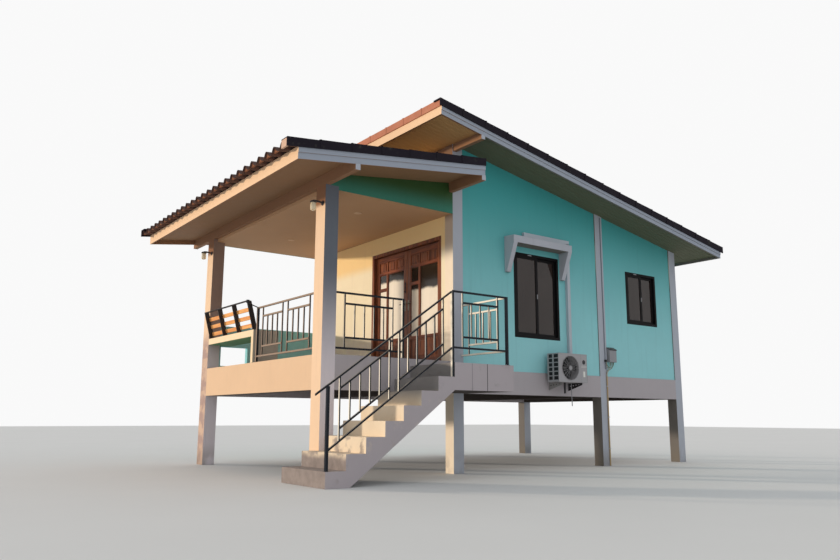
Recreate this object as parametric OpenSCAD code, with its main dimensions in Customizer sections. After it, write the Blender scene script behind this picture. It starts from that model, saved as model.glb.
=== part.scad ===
// Raised bungalow on concrete legs with an open porch, an outside stair
// and two mono-pitch tiled roofs.
// +X runs along the long side wall, +Y into the depth, +Z up. Lengths in millimetres.

/* [Plan] */
// Width over the column faces
house_width = 4450; // [3600:50:5400]
// Depth of the porch from its front columns to the house wall
porch_depth = 2310; // [1900:10:2900]
// Length of the closed house over its end columns
house_length = 5840; // [5200:10:6600]
// Distance from the corner column's face to the middle column's face
mid_column_at = 3405; // [3000:5:3600]
// Side of the house's square columns
column_side = 200; // [160:10:240]
// Width of a porch column along the house
porch_column_w = 215; // [160:5:260]
// Width of a porch column across the porch
porch_column_d = 265; // [200:5:300]
// Thickness of the walls
wall_t = 100; // [80:5:140]
// Step back of the side and rear walls behind the column faces
wall_recess = 15; // [5:1:30]

/* [Levels] */
// Underside of all floor beams above the lowest ground
beam_bottom = 1200; // [900:10:1600]
// Depth of the beams round the house
house_beam_h = 376; // [300:2:460]
// Rise from the landing to the porch floor
last_step = 109; // [80:1:160]
// Risers from the ground to the landing
riser_count = 8; // [7:1:9]
// Going of one tread
going = 282; // [250:1:310]
// Underside of the flat porch ceiling above the porch floor
porch_headroom = 2350; // [2200:10:2500]
// Thickness of the flat porch ceiling
ceiling_t = 50; // [30:1:60]

/* [Stair and landing] */
// Width of the stair and depth of the landing
stair_width = 1035; // [850:5:1200]
// Landing length along the wall
landing_length = 1096; // [1000:2:1300]
// Landing end beyond the corner column's front face
landing_past = 280; // [240:2:340]
// Distance from the top riser line to the flight's foot on its underside
soffit_run = 1629; // [1500:1:1750]
// Lowest steps past the column face, where they lie in front of the porch column
foot_past = 100; // [0:5:180]

/* [Porch roof] */
// Pitch in degrees
porch_pitch = 7.3; // [6:0.1:8.5]
// Height of the eave board's lower edge above the porch ceiling
porch_eave_drop = 19; // [5:1:60]
// Overhang in front of the porch columns
porch_eave = 850; // [600:10:950]
// Overhang past the side column faces
porch_side = 800; // [700:10:900]
// Height of the roof boards
porch_board_h = 170; // [160:1:200]
// Height of the soffit above the boards' lower edge
porch_soffit_up = 80; // [60:1:95]

/* [Main roof] */
// Pitch in degrees
main_pitch = 10.1; // [9:0.1:11]
// Height of the front board's lower edge above the house floor
main_front_up = 3610; // [3500:10:3750]
// Overhang in front of the house wall
main_front = 770; // [600:10:900]
// Overhang behind the rear columns
main_back = 560; // [400:10:800]
// Overhang past the side column faces
main_side = 700; // [600:10:780]
// Height of the roof boards
main_board_h = 140; // [130:1:180]
// Height of the soffit above the boards' lower edge
main_soffit_up = 45; // [30:1:60]

/* [Roof parts] */
// Thickness of the front and back roof boards
board_t = 25; // [18:1:35]
// Thickness of the stepped side boards at their thick upper half
rake_t = 45; // [35:1:60]
// Step between the upper and the lower half of a side board
rake_step = 10; // [8:1:24]
// Thickness of the soffit boards
soffit_t = 12; // [9:1:16]
// Width of a roof beam under the soffit
roof_beam_w = 75; // [60:1:100]
// Drop of a roof beam below the side boards
roof_beam_drop = 72; // [50:1:90]
// Width of a rafter
rafter_w = 50; // [40:1:70]
// Rafters under each roof
rafter_count = 6; // [4:1:9]
// Distance between two tile rolls
tile_pitch = 230; // [180:5:300]
// Height of a tile roll
tile_roll = 60; // [40:1:70]
// Thickness of the tiles
tile_t = 15; // [12:1:20]
// Porch tiles past the eave board
tile_overhang = 170; // [100:5:200]
// Main roof's tiles past its back board
main_tile_overhang = 65; // [40:5:200]
// Height of a side cap's outer leg
cap_h = 113; // [100:1:130]
// Thickness of the side caps
cap_t = 18; // [12:1:22]
// Width of the side caps on top of the tiles
cap_w = 150; // [120:5:200]
// Exposed length of one side cap
cap_length = 480; // [380:10:600]
// Rise of a cap's lower end over the cap below
cap_lift = 9; // [4:1:14]

/* [Windows] */
// Large window: distance from the corner column's front face
window_a_at = 1325; // [1100:5:1600]
// Large window width
window_a_w = 1080; // [900:10:1300]
// Large window sill above the floor
window_a_sill = 465; // [300:5:900]
// Small window: distance from the rear column
window_b_at = 470; // [180:5:500]
// Small window width
window_b_w = 920; // [700:10:940]
// Small window sill above the floor
window_b_sill = 905; // [700:5:1000]
// Heads of both windows above the floor
window_head = 1915; // [1850:5:2050]
// Width of the window frame's bars
window_bar = 48; // [36:1:60]
// Depth of the window frame
window_depth = 80; // [60:1:90]
// Thickness of the glass
glass_t = 6; // [4:1:8]

/* [Window hood] */
// Projection from the column faces
hood_depth = 220; // [150:5:300]
// Past the window on each side, to the outside of the fins
hood_past = 160; // [100:5:240]
// Shift of the hood from the window's middle towards the porch
hood_shift = 45; // [0:5:80]
// Thickness of the two side fins
fin_t = 90; // [50:5:100]
// Height of the fins
fin_h = 600; // [450:10:700]
// Depth of a fin at its lower end
fin_tip = 40; // [30:5:120]
// Thickness of the hood slab at its front
hood_t = 120; // [70:5:130]
// Fall of the hood's top from the wall to its front edge
hood_fall = 15; // [5:5:60]
// Hood underside above the window head
hood_up = 100; // [60:5:180]

/* [Door] */
// Door frame: distance from the near column face
door_at = 300; // [280:5:500]
// Width over the door frame
door_w = 2040; // [1800:10:2200]
// Height over the door frame
door_h = 2050; // [2000:10:2150]
// Width of the door frame's bars
jamb_w = 60; // [45:1:80]
// Thickness of a leaf
leaf_t = 40; // [32:1:45]
// Gap round a leaf
leaf_gap = 6; // [5:0.5:8]
// Width of a leaf's stiles and top rail
stile_w = 100; // [80:1:120]
// Width of a leaf's inner bars
bar_w = 40; // [30:1:50]
// Height of the row of small panels
small_panel_h = 180; // [140:5:220]
// Height of the large bottom panel
low_panel_h = 330; // [250:5:400]
// Radius of the hinge knuckles
knuckle_r = 6; // [5:0.5:8]

/* [Railings] */
// Side of the end posts
post_t = 36; // [30:1:45]
// Side of the rails
rail_t = 26; // [20:1:32]
// Side of the balusters
baluster_t = 18; // [14:1:22]
// Height of the bottom rail above the porch floor
rail_low = 82; // [60:1:120]
// Height over the top rail above the porch floor
rail_high = 889; // [850:1:1000]
// Distance between a rail and the inner rail next to it
rail_inset = 150; // [120:5:180]
// Step back of the railings behind the concrete edges
rail_back = 22; // [19:1:40]
// Middle of the porch railings behind the porch columns' outer faces
rail_face_back = 40; // [25:5:110]
// Middle of the return railing, in from the rear edge of the corner column
return_in = 25; // [20:1:100]
// Length of the porch front railing
front_rail_length = 1935; // [1700:5:2150]
// Length of the porch side railing
side_rail_length = 1180; // [1050:10:1250]
// Top rail past the newel at the stair's foot
rail_nose = 150; // [80:5:200]

/* [Counter] */
// Height of the counter top above the floor
counter_h = 535; // [450:5:700]
// Thickness of the counter top
counter_t = 110; // [80:5:140]
// Depth of the counter
counter_d = 445; // [400:5:700]
// Thickness of the counter's end panel
counter_leg = 85; // [70:5:150]
// Gap between the front railing's end post and the counter
counter_gap = 50; // [30:10:250]
// Height of the parapet on the far side
parapet_h = 795; // [700:5:900]
// Sill of the opening in the parapet
parapet_sill = 65; // [40:5:120]
// Width of the opening in the parapet
parapet_open = 520; // [400:10:620]
// Height of the opening in the parapet
parapet_open_h = 350; // [250:10:400]
// Width of the slatted rack
rack_w = 1860; // [1500:10:1900]
// Height of the slatted rack
rack_h = 465; // [400:5:520]
// Depth of the slatted rack
rack_d = 90; // [60:5:120]
// Forward lean of the rack in degrees
rack_lean = 15; // [8:1:18]

/* [Fittings] */
// Air conditioner: distance from the corner column's front face
ac_at = 1985; // [1700:5:2100]
// Air conditioner width
ac_w = 690; // [600:10:760]
// Air conditioner height
ac_h = 480; // [420:10:560]
// Air conditioner depth
ac_d = 260; // [220:5:300]
// Gap between the air conditioner and the column faces
ac_off = 70; // [50:5:120]
// Underside of the air conditioner above the beams' underside
ac_up = 220; // [180:5:280]
// Radius of the fan opening
fan_r = 200; // [170:2:220]
// Fan centre from the left side of the case
fan_at = 280; // [250:5:320]
// Depth of the fan recess
fan_recess = 150; // [120:5:170]
// Blades of the fan
blade_count = 3; // [3:1:5]
// Radial bars of the guard
guard_bars = 28; // [20:2:36]
// Meter box width
meter_w = 190; // [160:5:240]
// Meter box height
meter_h = 270; // [220:5:320]
// Meter box depth
meter_d = 75; // [60:5:140]
// Meter box underside above the house beams
meter_up = 260; // [200:5:400]
// Radius of the conduit on the middle column
conduit_r = 12; // [8:1:16]
// Width of the pipe trunking
trunking_w = 70; // [60:5:90]
// Projection of the pipe trunking from the wall
trunking_d = 55; // [40:5:70]
// Height of the column lamps above the porch floor
lamp_up = 2135; // [1900:5:2200]
// Reach of the column lamps
lamp_reach = 150; // [90:5:180]
// Radius of the lamp's glass jar
jar_r = 42; // [22:1:55]
// Length of the lamp's glass jar
jar_h = 115; // [70:5:140]
// Radius of the ceiling lamps
downlight_r = 62; // [50:1:80]

/* [Hidden] */
$fn = 48;

// Levels
beam_top = beam_bottom + house_beam_h;
floor_top = beam_top + last_step;
riser = beam_top / riser_count;
ceiling_z = floor_top + porch_headroom;
ceiling_top = ceiling_z + ceiling_t;

// Plan lines, from the front face of the porch columns and the near side face
far_face = house_width;
far_column = house_width - column_side;
far_porch_column = house_width - porch_column_d;
wall_x = porch_depth;
mid_x = porch_depth + mid_column_at;
house_end = porch_depth + house_length;
rear_x = house_end - column_side;
house_column_xs = [wall_x, mid_x, rear_x];
near_wall_y = wall_recess;
far_wall_y = house_width - wall_recess - wall_t;
rear_wall_x = house_end - wall_recess - wall_t;

// Landing and stair
landing_x1 = wall_x + landing_past;
landing_x0 = landing_x1 - landing_length;
stair_foot = landing_x0 - going * (riser_count - 1);
stair_slope = riser / going;

// Roof lines: the lower edge of the side boards at any x
porch_base = ceiling_z + porch_eave_drop;
main_x = wall_x - main_front;
main_end = house_end + main_back;
main_base = floor_top + main_front_up;
function porch_z(x) = porch_base + (x + porch_eave) * tan(porch_pitch);
function main_z(x) = main_base - (x - main_x) * tan(main_pitch);
porch_y0 = -porch_side;
porch_y1 = house_width + porch_side;
main_y0 = -main_side;
main_y1 = house_width + main_side;
rake_split = 0.5;
infill_t = 20;
ridge_leg_gap = 40;
// Clearance of the side caps over the tile rolls, and the ridge cap's collars
cap_seat = 2;
collar_w = 45;
collar_t = 6;
// Joint between a sloping face and the one that lies on it
seat_gap = 0.1;

// The porch roof's beams stand on the front columns and on the house wall line
front_beam_z = ceiling_top;
wall_beam_x = wall_x - roof_beam_w;
wall_beam_z = porch_z(wall_beam_x) - roof_beam_drop;
main_beam_x = wall_x + (wall_t - roof_beam_w) / 2;
main_beam_z = main_z(main_beam_x) - roof_beam_drop;

// Origin: bottom centre of the box round the whole house
tile_top = tile_roll + tile_t;
box_x0 = -porch_eave - tile_overhang - tile_top * sin(porch_pitch);
box_x1 = main_end + main_tile_overhang * cos(main_pitch) + tile_top * sin(main_pitch);
box_y0 = -stair_width;
box_y1 = porch_y1 + cap_t;
origin = [(box_x0 + box_x1) / 2, (box_y0 + box_y1) / 2, 0];

// Colours
cream = [0.93, 0.86, 0.72];
trim_grey = [0.78, 0.79, 0.82];
turquoise = [0.42, 0.71, 0.69];
cement = [0.62, 0.60, 0.57];
soffit_beige = [0.72, 0.66, 0.58];
tile_brown = [0.20, 0.15, 0.15];
cap_red = [0.42, 0.25, 0.21];
door_wood = [0.40, 0.18, 0.11];
frame_black = [0.09, 0.07, 0.07];
rail_metal = [0.16, 0.17, 0.20];
pane = [0.45, 0.55, 0.60, 0.5];
ac_white = [0.88, 0.88, 0.86];

// Box between two corners
module block(x0, x1, y0, y1, z0, z1) {
    translate([x0, y0, z0]) cube([x1 - x0, y1 - y0, z1 - z0]);
}

// Outline in the x-z plane, carried from y0 to y1
module side_shape(points, y0, y1) {
    translate([0, y1, 0]) rotate([90, 0, 0]) linear_extrude(y1 - y0) polygon(points);
}

// Outline in the y-z plane, carried from x0 to x1
module cross_shape(points, x0, x1) {
    translate([x0, 0, 0]) rotate([90, 0, 90]) linear_extrude(x1 - x0) polygon(points);
}

// Strip that follows the porch roof between two heights over its line
module porch_strip(x0, x1, low, high, y0, y1) {
    side_shape([[x0, porch_z(x0) + low], [x1, porch_z(x1) + low],
                [x1, porch_z(x1) + high], [x0, porch_z(x0) + high]], y0, y1);
}

// Strip that follows the main roof between two heights over its line
module main_strip(x0, x1, low, high, y0, y1) {
    side_shape([[x0, main_z(x0) + low], [x1, main_z(x1) + low],
                [x1, main_z(x1) + high], [x0, main_z(x0) + high]], y0, y1);
}

// Upright of the house with its top cut to the main soffit
module under_main_roof(x0, x1, y0, y1, z0) {
    side_shape([[x0, z0], [x1, z0], [x1, main_z(x1) + main_soffit_up],
                [x0, main_z(x0) + main_soffit_up]], y0, y1);
}

// Both side faces of the house at once
module both_sides() {
    children();
    translate([0, house_width, 0]) mirror([0, 1, 0]) children();
}

// Columns and beams
module porch_columns() {
    color(cream) both_sides()
        block(0, porch_column_w, 0, porch_column_d, 0, front_beam_z);
}

// The corner columns have an open seat for the main roof's beam
module house_columns() {
    color(trim_grey) difference() {
        both_sides() for (x = house_column_xs)
            under_main_roof(x, x + column_side, 0, column_side, 0);
        block(main_beam_x, main_beam_x + roof_beam_w, -1, house_width + 1,
              main_beam_z, main_beam_z + column_side);
    }
}

module porch_beams() {
    color(cream) {
        block(0, porch_column_w, porch_column_d, far_porch_column, beam_bottom, floor_top);
        both_sides() block(porch_column_w, wall_x, 0, column_side, beam_bottom, floor_top);
    }
}

module side_beams() {
    color(trim_grey) both_sides() {
        block(wall_x + column_side, mid_x, 0, column_side, beam_bottom, beam_top);
        block(mid_x + column_side, rear_x, 0, column_side, beam_bottom, beam_top);
    }
}

module cross_beams() {
    color(trim_grey) for (x = house_column_xs)
        block(x, x + column_side, column_side, far_column, beam_bottom, beam_top);
}

// Floors
module porch_floor() {
    color(cement)
        block(porch_column_w, wall_x, column_side, far_column, beam_top, floor_top);
}

module house_floor() {
    color(cement) difference() {
        block(wall_x, rear_wall_x, near_wall_y + wall_t, far_wall_y, beam_top, floor_top);
        both_sides() for (x = house_column_xs)
            block(x, x + column_side, 0, column_side, 0, floor_top + 1);
    }
}

module landing() {
    color(cement) block(landing_x0, landing_x1, -stair_width, 0, beam_bottom, beam_top);
}

// Outline of the flight between y0 and y1: every tread and riser, then the underside
module flight_body(y0, y1) {
    steps = [for (i = [1:riser_count - 1]) each [
        [stair_foot + (i - 1) * going, i * riser],
        [stair_foot + i * going, i * riser]
    ]];
    side_shape(concat([[stair_foot, 0]], steps,
                      [[landing_x0, beam_bottom], [landing_x0 - soffit_run, 0]]), y0, y1);
}

// The steps in front of the porch column reach a little past its face
module stair_flight() {
    color(cement) {
        flight_body(-stair_width, 0);
        intersection() {
            flight_body(-1, foot_past);
            block(stair_foot, 0, -1, foot_past, 0, beam_top);
        }
    }
}

// Window openings in the near wall, at their place along the house
function window_box(i) = i == 0
    ? [wall_x + window_a_at, window_a_w, floor_top + window_a_sill]
    : [rear_x - window_b_at - window_b_w, window_b_w, floor_top + window_b_sill];
window_top = floor_top + window_head;

module window_holes() {
    for (i = [0, 1]) {
        w = window_box(i);
        block(w[0], w[0] + w[1], near_wall_y - 1, near_wall_y + wall_t + 1, w[2], window_top);
    }
}

// Walls
module side_walls() {
    color(turquoise) both_sides() difference() {
        union() {
            under_main_roof(wall_x + column_side, mid_x, near_wall_y, near_wall_y + wall_t,
                            beam_top);
            under_main_roof(mid_x + column_side, rear_x, near_wall_y, near_wall_y + wall_t,
                            beam_top);
        }
        window_holes();
    }
}

module rear_wall() {
    color(turquoise) under_main_roof(rear_wall_x, rear_wall_x + wall_t,
                                     column_side, far_column, beam_top);
}

module front_wall_sides() {
    color(cream) {
        block(wall_x, wall_x + wall_t, column_side, door_at, floor_top, main_beam_z);
        block(wall_x, wall_x + wall_t, door_at + door_w, far_column, floor_top, main_beam_z);
    }
}

module front_wall_over() {
    color(cream) block(wall_x, wall_x + wall_t, door_at, door_at + door_w,
                       floor_top + door_h, main_beam_z);
}

// Porch ceiling: a boxed slab, notched round the two front columns
module porch_ceiling() {
    color(soffit_beige) difference() {
        block(roof_beam_w, wall_x, infill_t, house_width - infill_t, ceiling_z, ceiling_top);
        both_sides() block(0, porch_column_w, 0, porch_column_d, 0, ceiling_top + 1);
    }
}

// Panels that close the space between the ceiling and the sloping soffit
module porch_infill() {
    top = porch_soffit_up;
    color(turquoise) both_sides() side_shape([
        [porch_column_w, ceiling_z], [wall_x, ceiling_z], [wall_x, wall_beam_z],
        [wall_beam_x, wall_beam_z], [wall_beam_x, porch_z(wall_beam_x) + top],
        [roof_beam_w, porch_z(roof_beam_w) + top], [roof_beam_w, front_beam_z],
        [porch_column_w, front_beam_z]
    ], 0, infill_t);
}

// Beam of the main roof: under the soffit, and a shorter tail under each side board
module main_beam_body() {
    x1 = main_beam_x + roof_beam_w;
    side_shape([[main_beam_x, main_beam_z], [x1, main_beam_z],
                [x1, main_z(x1) + main_soffit_up],
                [main_beam_x, main_z(main_beam_x) + main_soffit_up]],
               main_y0 + rake_t, main_y1 - rake_t);
    side_shape([[main_beam_x, main_beam_z], [x1, main_beam_z], [x1, main_z(x1)],
                [main_beam_x, main_z(main_beam_x)]], main_y0, main_y1);
}

// Beam of the porch roof at x0, in the same form
module porch_beam_body(x0, z0) {
    x1 = x0 + roof_beam_w;
    side_shape([[x0, z0], [x1, z0], [x1, porch_z(x1) + porch_soffit_up],
                [x0, porch_z(x0) + porch_soffit_up]], porch_y0 + rake_t, porch_y1 - rake_t);
    side_shape([[x0, z0], [x1, z0], [x1, porch_z(x1)], [x0, porch_z(x0)]],
               porch_y0, porch_y1);
}

module roof_beams() {
    color(trim_grey) {
        porch_beam_body(0, front_beam_z);
        porch_beam_body(wall_beam_x, wall_beam_z);
        main_beam_body();
    }
}

// Soffits
module porch_soffit() {
    color(soffit_beige) porch_strip(-porch_eave + board_t, wall_x,
                                    porch_soffit_up + seat_gap,
                                    porch_soffit_up + soffit_t,
                                    porch_y0 + rake_t, porch_y1 - rake_t);
}

module main_soffit() {
    color(soffit_beige) main_strip(main_x + board_t, main_end - board_t,
                                   main_soffit_up + seat_gap,
                                   main_soffit_up + soffit_t,
                                   main_y0 + rake_t, main_y1 - rake_t);
}

// Rafters between the soffits and the tiles
module rafters() {
    last = rafter_count - 1;
    color(cement) for (i = [0:last]) {
        porch_y = porch_y0 + rake_t + i * (porch_y1 - porch_y0 - 2 * rake_t - rafter_w) / last;
        porch_strip(-porch_eave + board_t, wall_x - board_t,
                    porch_soffit_up + soffit_t + seat_gap,
                    porch_board_h, porch_y, porch_y + rafter_w);
        main_y = main_y0 + rake_t + i * (main_y1 - main_y0 - 2 * rake_t - rafter_w) / last;
        main_strip(main_x + board_t, main_end - board_t,
                   main_soffit_up + soffit_t + seat_gap,
                   main_board_h, main_y, main_y + rafter_w);
    }
}

// Front and back boards, and the board that ends the porch roof at the house
module fascias() {
    color(cream) {
        porch_strip(-porch_eave, -porch_eave + board_t, 0, porch_board_h,
                    porch_y0 + rake_t, porch_y1 - rake_t);
        porch_strip(wall_x - board_t, wall_x, porch_soffit_up + soffit_t + seat_gap,
                    porch_board_h, porch_y0 + rake_t, porch_y1 - rake_t);
        for (x = [main_x, main_end - board_t])
            main_strip(x, x + board_t, 0, main_board_h, main_y0 + rake_t, main_y1 - rake_t);
    }
}

// Stepped side boards, the upper half standing out
module rake_boards() {
    porch_split = porch_board_h * rake_split;
    main_split = main_board_h * rake_split;
    color(trim_grey) both_sides() {
        porch_strip(-porch_eave, wall_x, seat_gap, porch_split,
                    porch_y0 + rake_step, porch_y0 + rake_t);
        porch_strip(-porch_eave, wall_x, porch_split, porch_board_h,
                    porch_y0, porch_y0 + rake_t);
        main_strip(main_x, main_end, seat_gap, main_split, main_y0 + rake_step, main_y0 + rake_t);
        main_strip(main_x, main_end, main_split, main_board_h, main_y0, main_y0 + rake_t);
    }
}

// Height of the tile profile: a flat pan, then a round roll
roll_steps = 6;
pan_share = 0.3;
function roll_height(i) = i == 0 ? 0 : tile_roll * sin(180 * (i - 1) / roll_steps);
function roll_place(i) = i == 0 ? 0 : pan_share + (1 - pan_share) * (i - 1) / roll_steps;

// Sheet of rolled tiles of a width and a length, lying on z = 0
module tile_sheet(width, length) {
    rolls = round(width / tile_pitch);
    step = width / rolls;
    line = [for (r = [0:rolls - 1]) for (i = [0:roll_steps])
                [step * (r + roll_place(i)), roll_height(i)]];
    low = concat(line, [[width, 0]]);
    high = [for (i = [len(low) - 1:-1:0]) low[i] + [0, tile_t]];
    rotate([90, 0, 90]) linear_extrude(length) polygon(concat(low, high));
}

module porch_tiles() {
    x0 = -porch_eave - tile_overhang;
    color(tile_brown) translate([x0, porch_y0, porch_z(x0) + porch_board_h + seat_gap])
        rotate([0, -porch_pitch, 0])
            tile_sheet(porch_y1 - porch_y0, (wall_x - x0) / cos(porch_pitch));
}

module main_tiles() {
    x0 = main_x - ridge_leg_gap;
    length = (main_end - x0) / cos(main_pitch) + main_tile_overhang;
    color(tile_brown) translate([x0, main_y0, main_z(x0) + main_board_h + seat_gap])
        rotate([0, main_pitch, 0]) tile_sheet(main_y1 - main_y0, length);
}

// One run of side caps from x0 to x1: each cap rises by cap_lift towards its lower end
cap_top = tile_top + cap_seat + cap_t;
module cap_run(x0, x1, y, rising) {
    count = ceil((x1 - x0) / cap_length);
    step = (x1 - x0) / count;
    base = cap_top + (rising ? porch_board_h : main_board_h);
    function line(x) = base + (rising ? porch_z(x) : main_z(x));
    up_a = rising ? cap_lift : 0;
    up_b = cap_lift - up_a;
    for (i = [0:count - 1]) {
        a = x0 + i * step;
        b = a + step;
        side_shape([[a, line(a) - cap_h], [b, line(b) - cap_h], [b, line(b) + up_b],
                    [a, line(a) + up_a]], y - cap_t, y);
        side_shape([[a, line(a) - cap_t], [b, line(b) - cap_t], [b, line(b) + up_b],
                    [a, line(a) + up_a]], y - cap_t, y + cap_w);
    }
}

module verge_caps() {
    color(tile_brown) both_sides() {
        cap_run(-porch_eave - tile_overhang, wall_x, porch_y0, true);
        cap_run(main_x - ridge_leg_gap, main_end + main_tile_overhang * cos(main_pitch),
                main_y0, false);
    }
}

// Cap over the high front edge of the main roof, with a collar at every joint
module ridge_cap() {
    x0 = main_x - ridge_leg_gap - cap_t;
    low = main_board_h - cap_t;
    top = main_board_h + cap_top + cap_lift + cap_t;
    y0 = main_y0 - cap_t;
    y1 = main_y1 + cap_t;
    joints = round((y1 - y0) / cap_length);
    step = (y1 - y0) / joints;
    module angle_piece(ya, yb, skin) {
        main_strip(x0 - skin, x0 + cap_t, low, top + skin, ya, yb);
        main_strip(x0 - skin, x0 + cap_w + cap_t, top - cap_t, top + skin, ya, yb);
    }
    color(cap_red) {
        angle_piece(y0, y1, 0);
        for (i = [0:joints - 1])
            angle_piece(y0 + i * step, y0 + i * step + collar_w, collar_t);
    }
}

// Windows: one frame with two lights and a sliding bar between them
module window_frame(i) {
    w = window_box(i);
    y0 = near_wall_y;
    difference() {
        block(w[0], w[0] + w[1], y0, y0 + window_depth, w[2], window_top);
        window_lights(i, 0);
    }
}

module window_lights(i, inset) {
    w = window_box(i);
    light = (w[1] - 3 * window_bar) / 2;
    for (k = [0, 1]) {
        x = w[0] + window_bar + k * (light + window_bar);
        block(x + inset, x + light - inset, near_wall_y - 1, near_wall_y + wall_t,
              w[2] + window_bar + inset, window_top - window_bar - inset);
    }
}

module window_frames() {
    color(frame_black) both_sides() for (i = [0, 1]) window_frame(i);
}

module window_glass() {
    y = near_wall_y + window_depth / 2;
    color(pane) both_sides() for (i = [0, 1]) intersection() {
        window_lights(i, 0);
        block(0, house_end, y, y + glass_t, 0, window_top);
    }
}

// Hood over the large window: a slab with a sloping top between two tapered fins
hood_z0 = window_top + hood_up;
hood_z1 = hood_z0 + hood_t;
module window_hoods() {
    x0 = wall_x + window_a_at - hood_past - hood_shift;
    x1 = wall_x + window_a_at + window_a_w + hood_past - hood_shift;
    color(trim_grey) both_sides() {
        cross_shape([[near_wall_y, hood_z0], [near_wall_y, hood_z1 + hood_fall],
                     [-hood_depth, hood_z1], [-hood_depth, hood_z0]], x0, x1);
        for (x = [x0, x1 - fin_t])
            cross_shape([[near_wall_y, hood_z1 - fin_h], [near_wall_y, hood_z1],
                         [-hood_depth, hood_z1], [-hood_depth, hood_z0],
                         [-fin_tip, hood_z1 - fin_h]], x, x + fin_t);
    }
}

// Door frame with the fixed halves of the hinges
door_y0 = door_at;
door_y1 = door_at + door_w;
door_top = floor_top + door_h;
frame_back = wall_x + wall_t;
leaf_x1 = frame_back - 4;
leaf_x0 = leaf_x1 - leaf_t;
hinge_x = frame_back + knuckle_r + 2;
hinge_y = [door_y0 + jamb_w, door_y1 - jamb_w];
hinge_in = 250;
hinge_low = floor_top + hinge_in;
hinge_high = door_top - jamb_w - hinge_in;
hinge_zs = [hinge_low, (hinge_low + hinge_high) / 2, hinge_high];
knuckle_h = 45;
knuckle_gap = 1;
flap_w = 25;
flap_t = 4;

module door_frame() {
    color(door_wood) {
        difference() {
            block(wall_x, frame_back, door_y0, door_y1, floor_top, door_top);
            block(wall_x - 1, frame_back + 1, hinge_y[0], hinge_y[1],
                  floor_top - 1, door_top - jamb_w);
        }
        for (k = [0, 1]) for (z = hinge_zs) translate([0, 0, z]) {
            translate([hinge_x, hinge_y[k], 0]) cylinder(r = knuckle_r, h = knuckle_h);
            translate([frame_back - 1, k == 0 ? hinge_y[0] - flap_w : hinge_y[1], 0])
                cube([flap_t, flap_w, knuckle_h]);
            translate([frame_back + 1, k == 0 ? hinge_y[0] - flap_t : hinge_y[1], 0])
                cube([knuckle_r, flap_t, knuckle_h]);
        }
    }
}

// One leaf, drawn with its hinge side at y = 0 and its free side at y = leaf_w
leaf_w = (door_w - 2 * jamb_w) / 2 - leaf_gap - leaf_gap * 0.7;
leaf_z0 = floor_top + leaf_gap + 2;
leaf_z1 = door_top - jamb_w - leaf_gap;
light_z0 = leaf_z0 + stile_w + low_panel_h + bar_w;
light_z1 = leaf_z1 - stile_w - small_panel_h - bar_w;

// The leaf's lights: three columns of which two make the wide light
// The narrow light lies at the side given by narrow_first
function light_edges(narrow_first) =
    let (inner = leaf_w - 2 * stile_w, third = (inner - 2 * bar_w) / 3)
    narrow_first
        ? [[stile_w, stile_w + third], [stile_w + third + bar_w, stile_w + inner]]
        : [[stile_w, stile_w + inner - third - bar_w],
           [stile_w + inner - third, stile_w + inner]];

module leaf(narrow_first) {
    third = (leaf_w - 2 * stile_w - 2 * bar_w) / 3;
    recess = leaf_t / 4;
    difference() {
        block(leaf_x0, leaf_x1, 0, leaf_w, leaf_z0, leaf_z1);
        for (i = [0:2]) {
            y = stile_w + i * (third + bar_w);
            z = leaf_z1 - stile_w - small_panel_h;
            for (x = [leaf_x0 - 1, leaf_x1 - recess])
                block(x, x + recess + 1, y, y + third, z, z + small_panel_h);
        }
        for (x = [leaf_x0 - 1, leaf_x1 - recess])
            block(x, x + recess + 1, stile_w, leaf_w - stile_w,
                  leaf_z0 + stile_w, leaf_z0 + stile_w + low_panel_h);
        leaf_lights(narrow_first, leaf_x0 - 1, leaf_x1 + 1);
    }
    for (z = hinge_zs) translate([0, 0, z - knuckle_h - knuckle_gap]) {
        translate([hinge_x, -leaf_gap, 0]) cylinder(r = knuckle_r, h = knuckle_h);
        block(leaf_x1 - 1, leaf_x1 + flap_t - 1, 0, flap_w, 0, knuckle_h);
        block(leaf_x1, hinge_x, 0, flap_t, 0, knuckle_h);
        block(hinge_x - flap_t / 2, hinge_x + flap_t / 2, -leaf_gap, flap_t, 0, knuckle_h);
    }
}

module leaf_lights(narrow_first, x0, x1) {
    edges = light_edges(narrow_first);
    narrow = narrow_first ? 0 : 1;
    cross_z = light_z1 - (light_z1 - light_z0) / 4;
    block(x0, x1, edges[1 - narrow][0], edges[1 - narrow][1], light_z0, light_z1);
    block(x0, x1, edges[narrow][0], edges[narrow][1], light_z0, cross_z);
    block(x0, x1, edges[narrow][0], edges[narrow][1], cross_z + bar_w, light_z1);
}

module near_leaf_place() {
    translate([0, hinge_y[0] + leaf_gap, 0]) children();
}

module far_leaf_place() {
    translate([0, hinge_y[1] - leaf_gap, 0]) mirror([0, 1, 0]) children();
}

module door_leaf_near() { color(door_wood) near_leaf_place() leaf(false); }
module door_leaf_far() { color(door_wood) far_leaf_place() leaf(true); }

module leaf_glass(narrow_first) {
    x = (leaf_x0 + leaf_x1 - glass_t) / 2;
    leaf_lights(narrow_first, x, x + glass_t);
}

module door_glass_near() { color(pane) near_leaf_place() leaf_glass(false); }
module door_glass_far() { color(pane) far_leaf_place() leaf_glass(true); }

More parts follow.
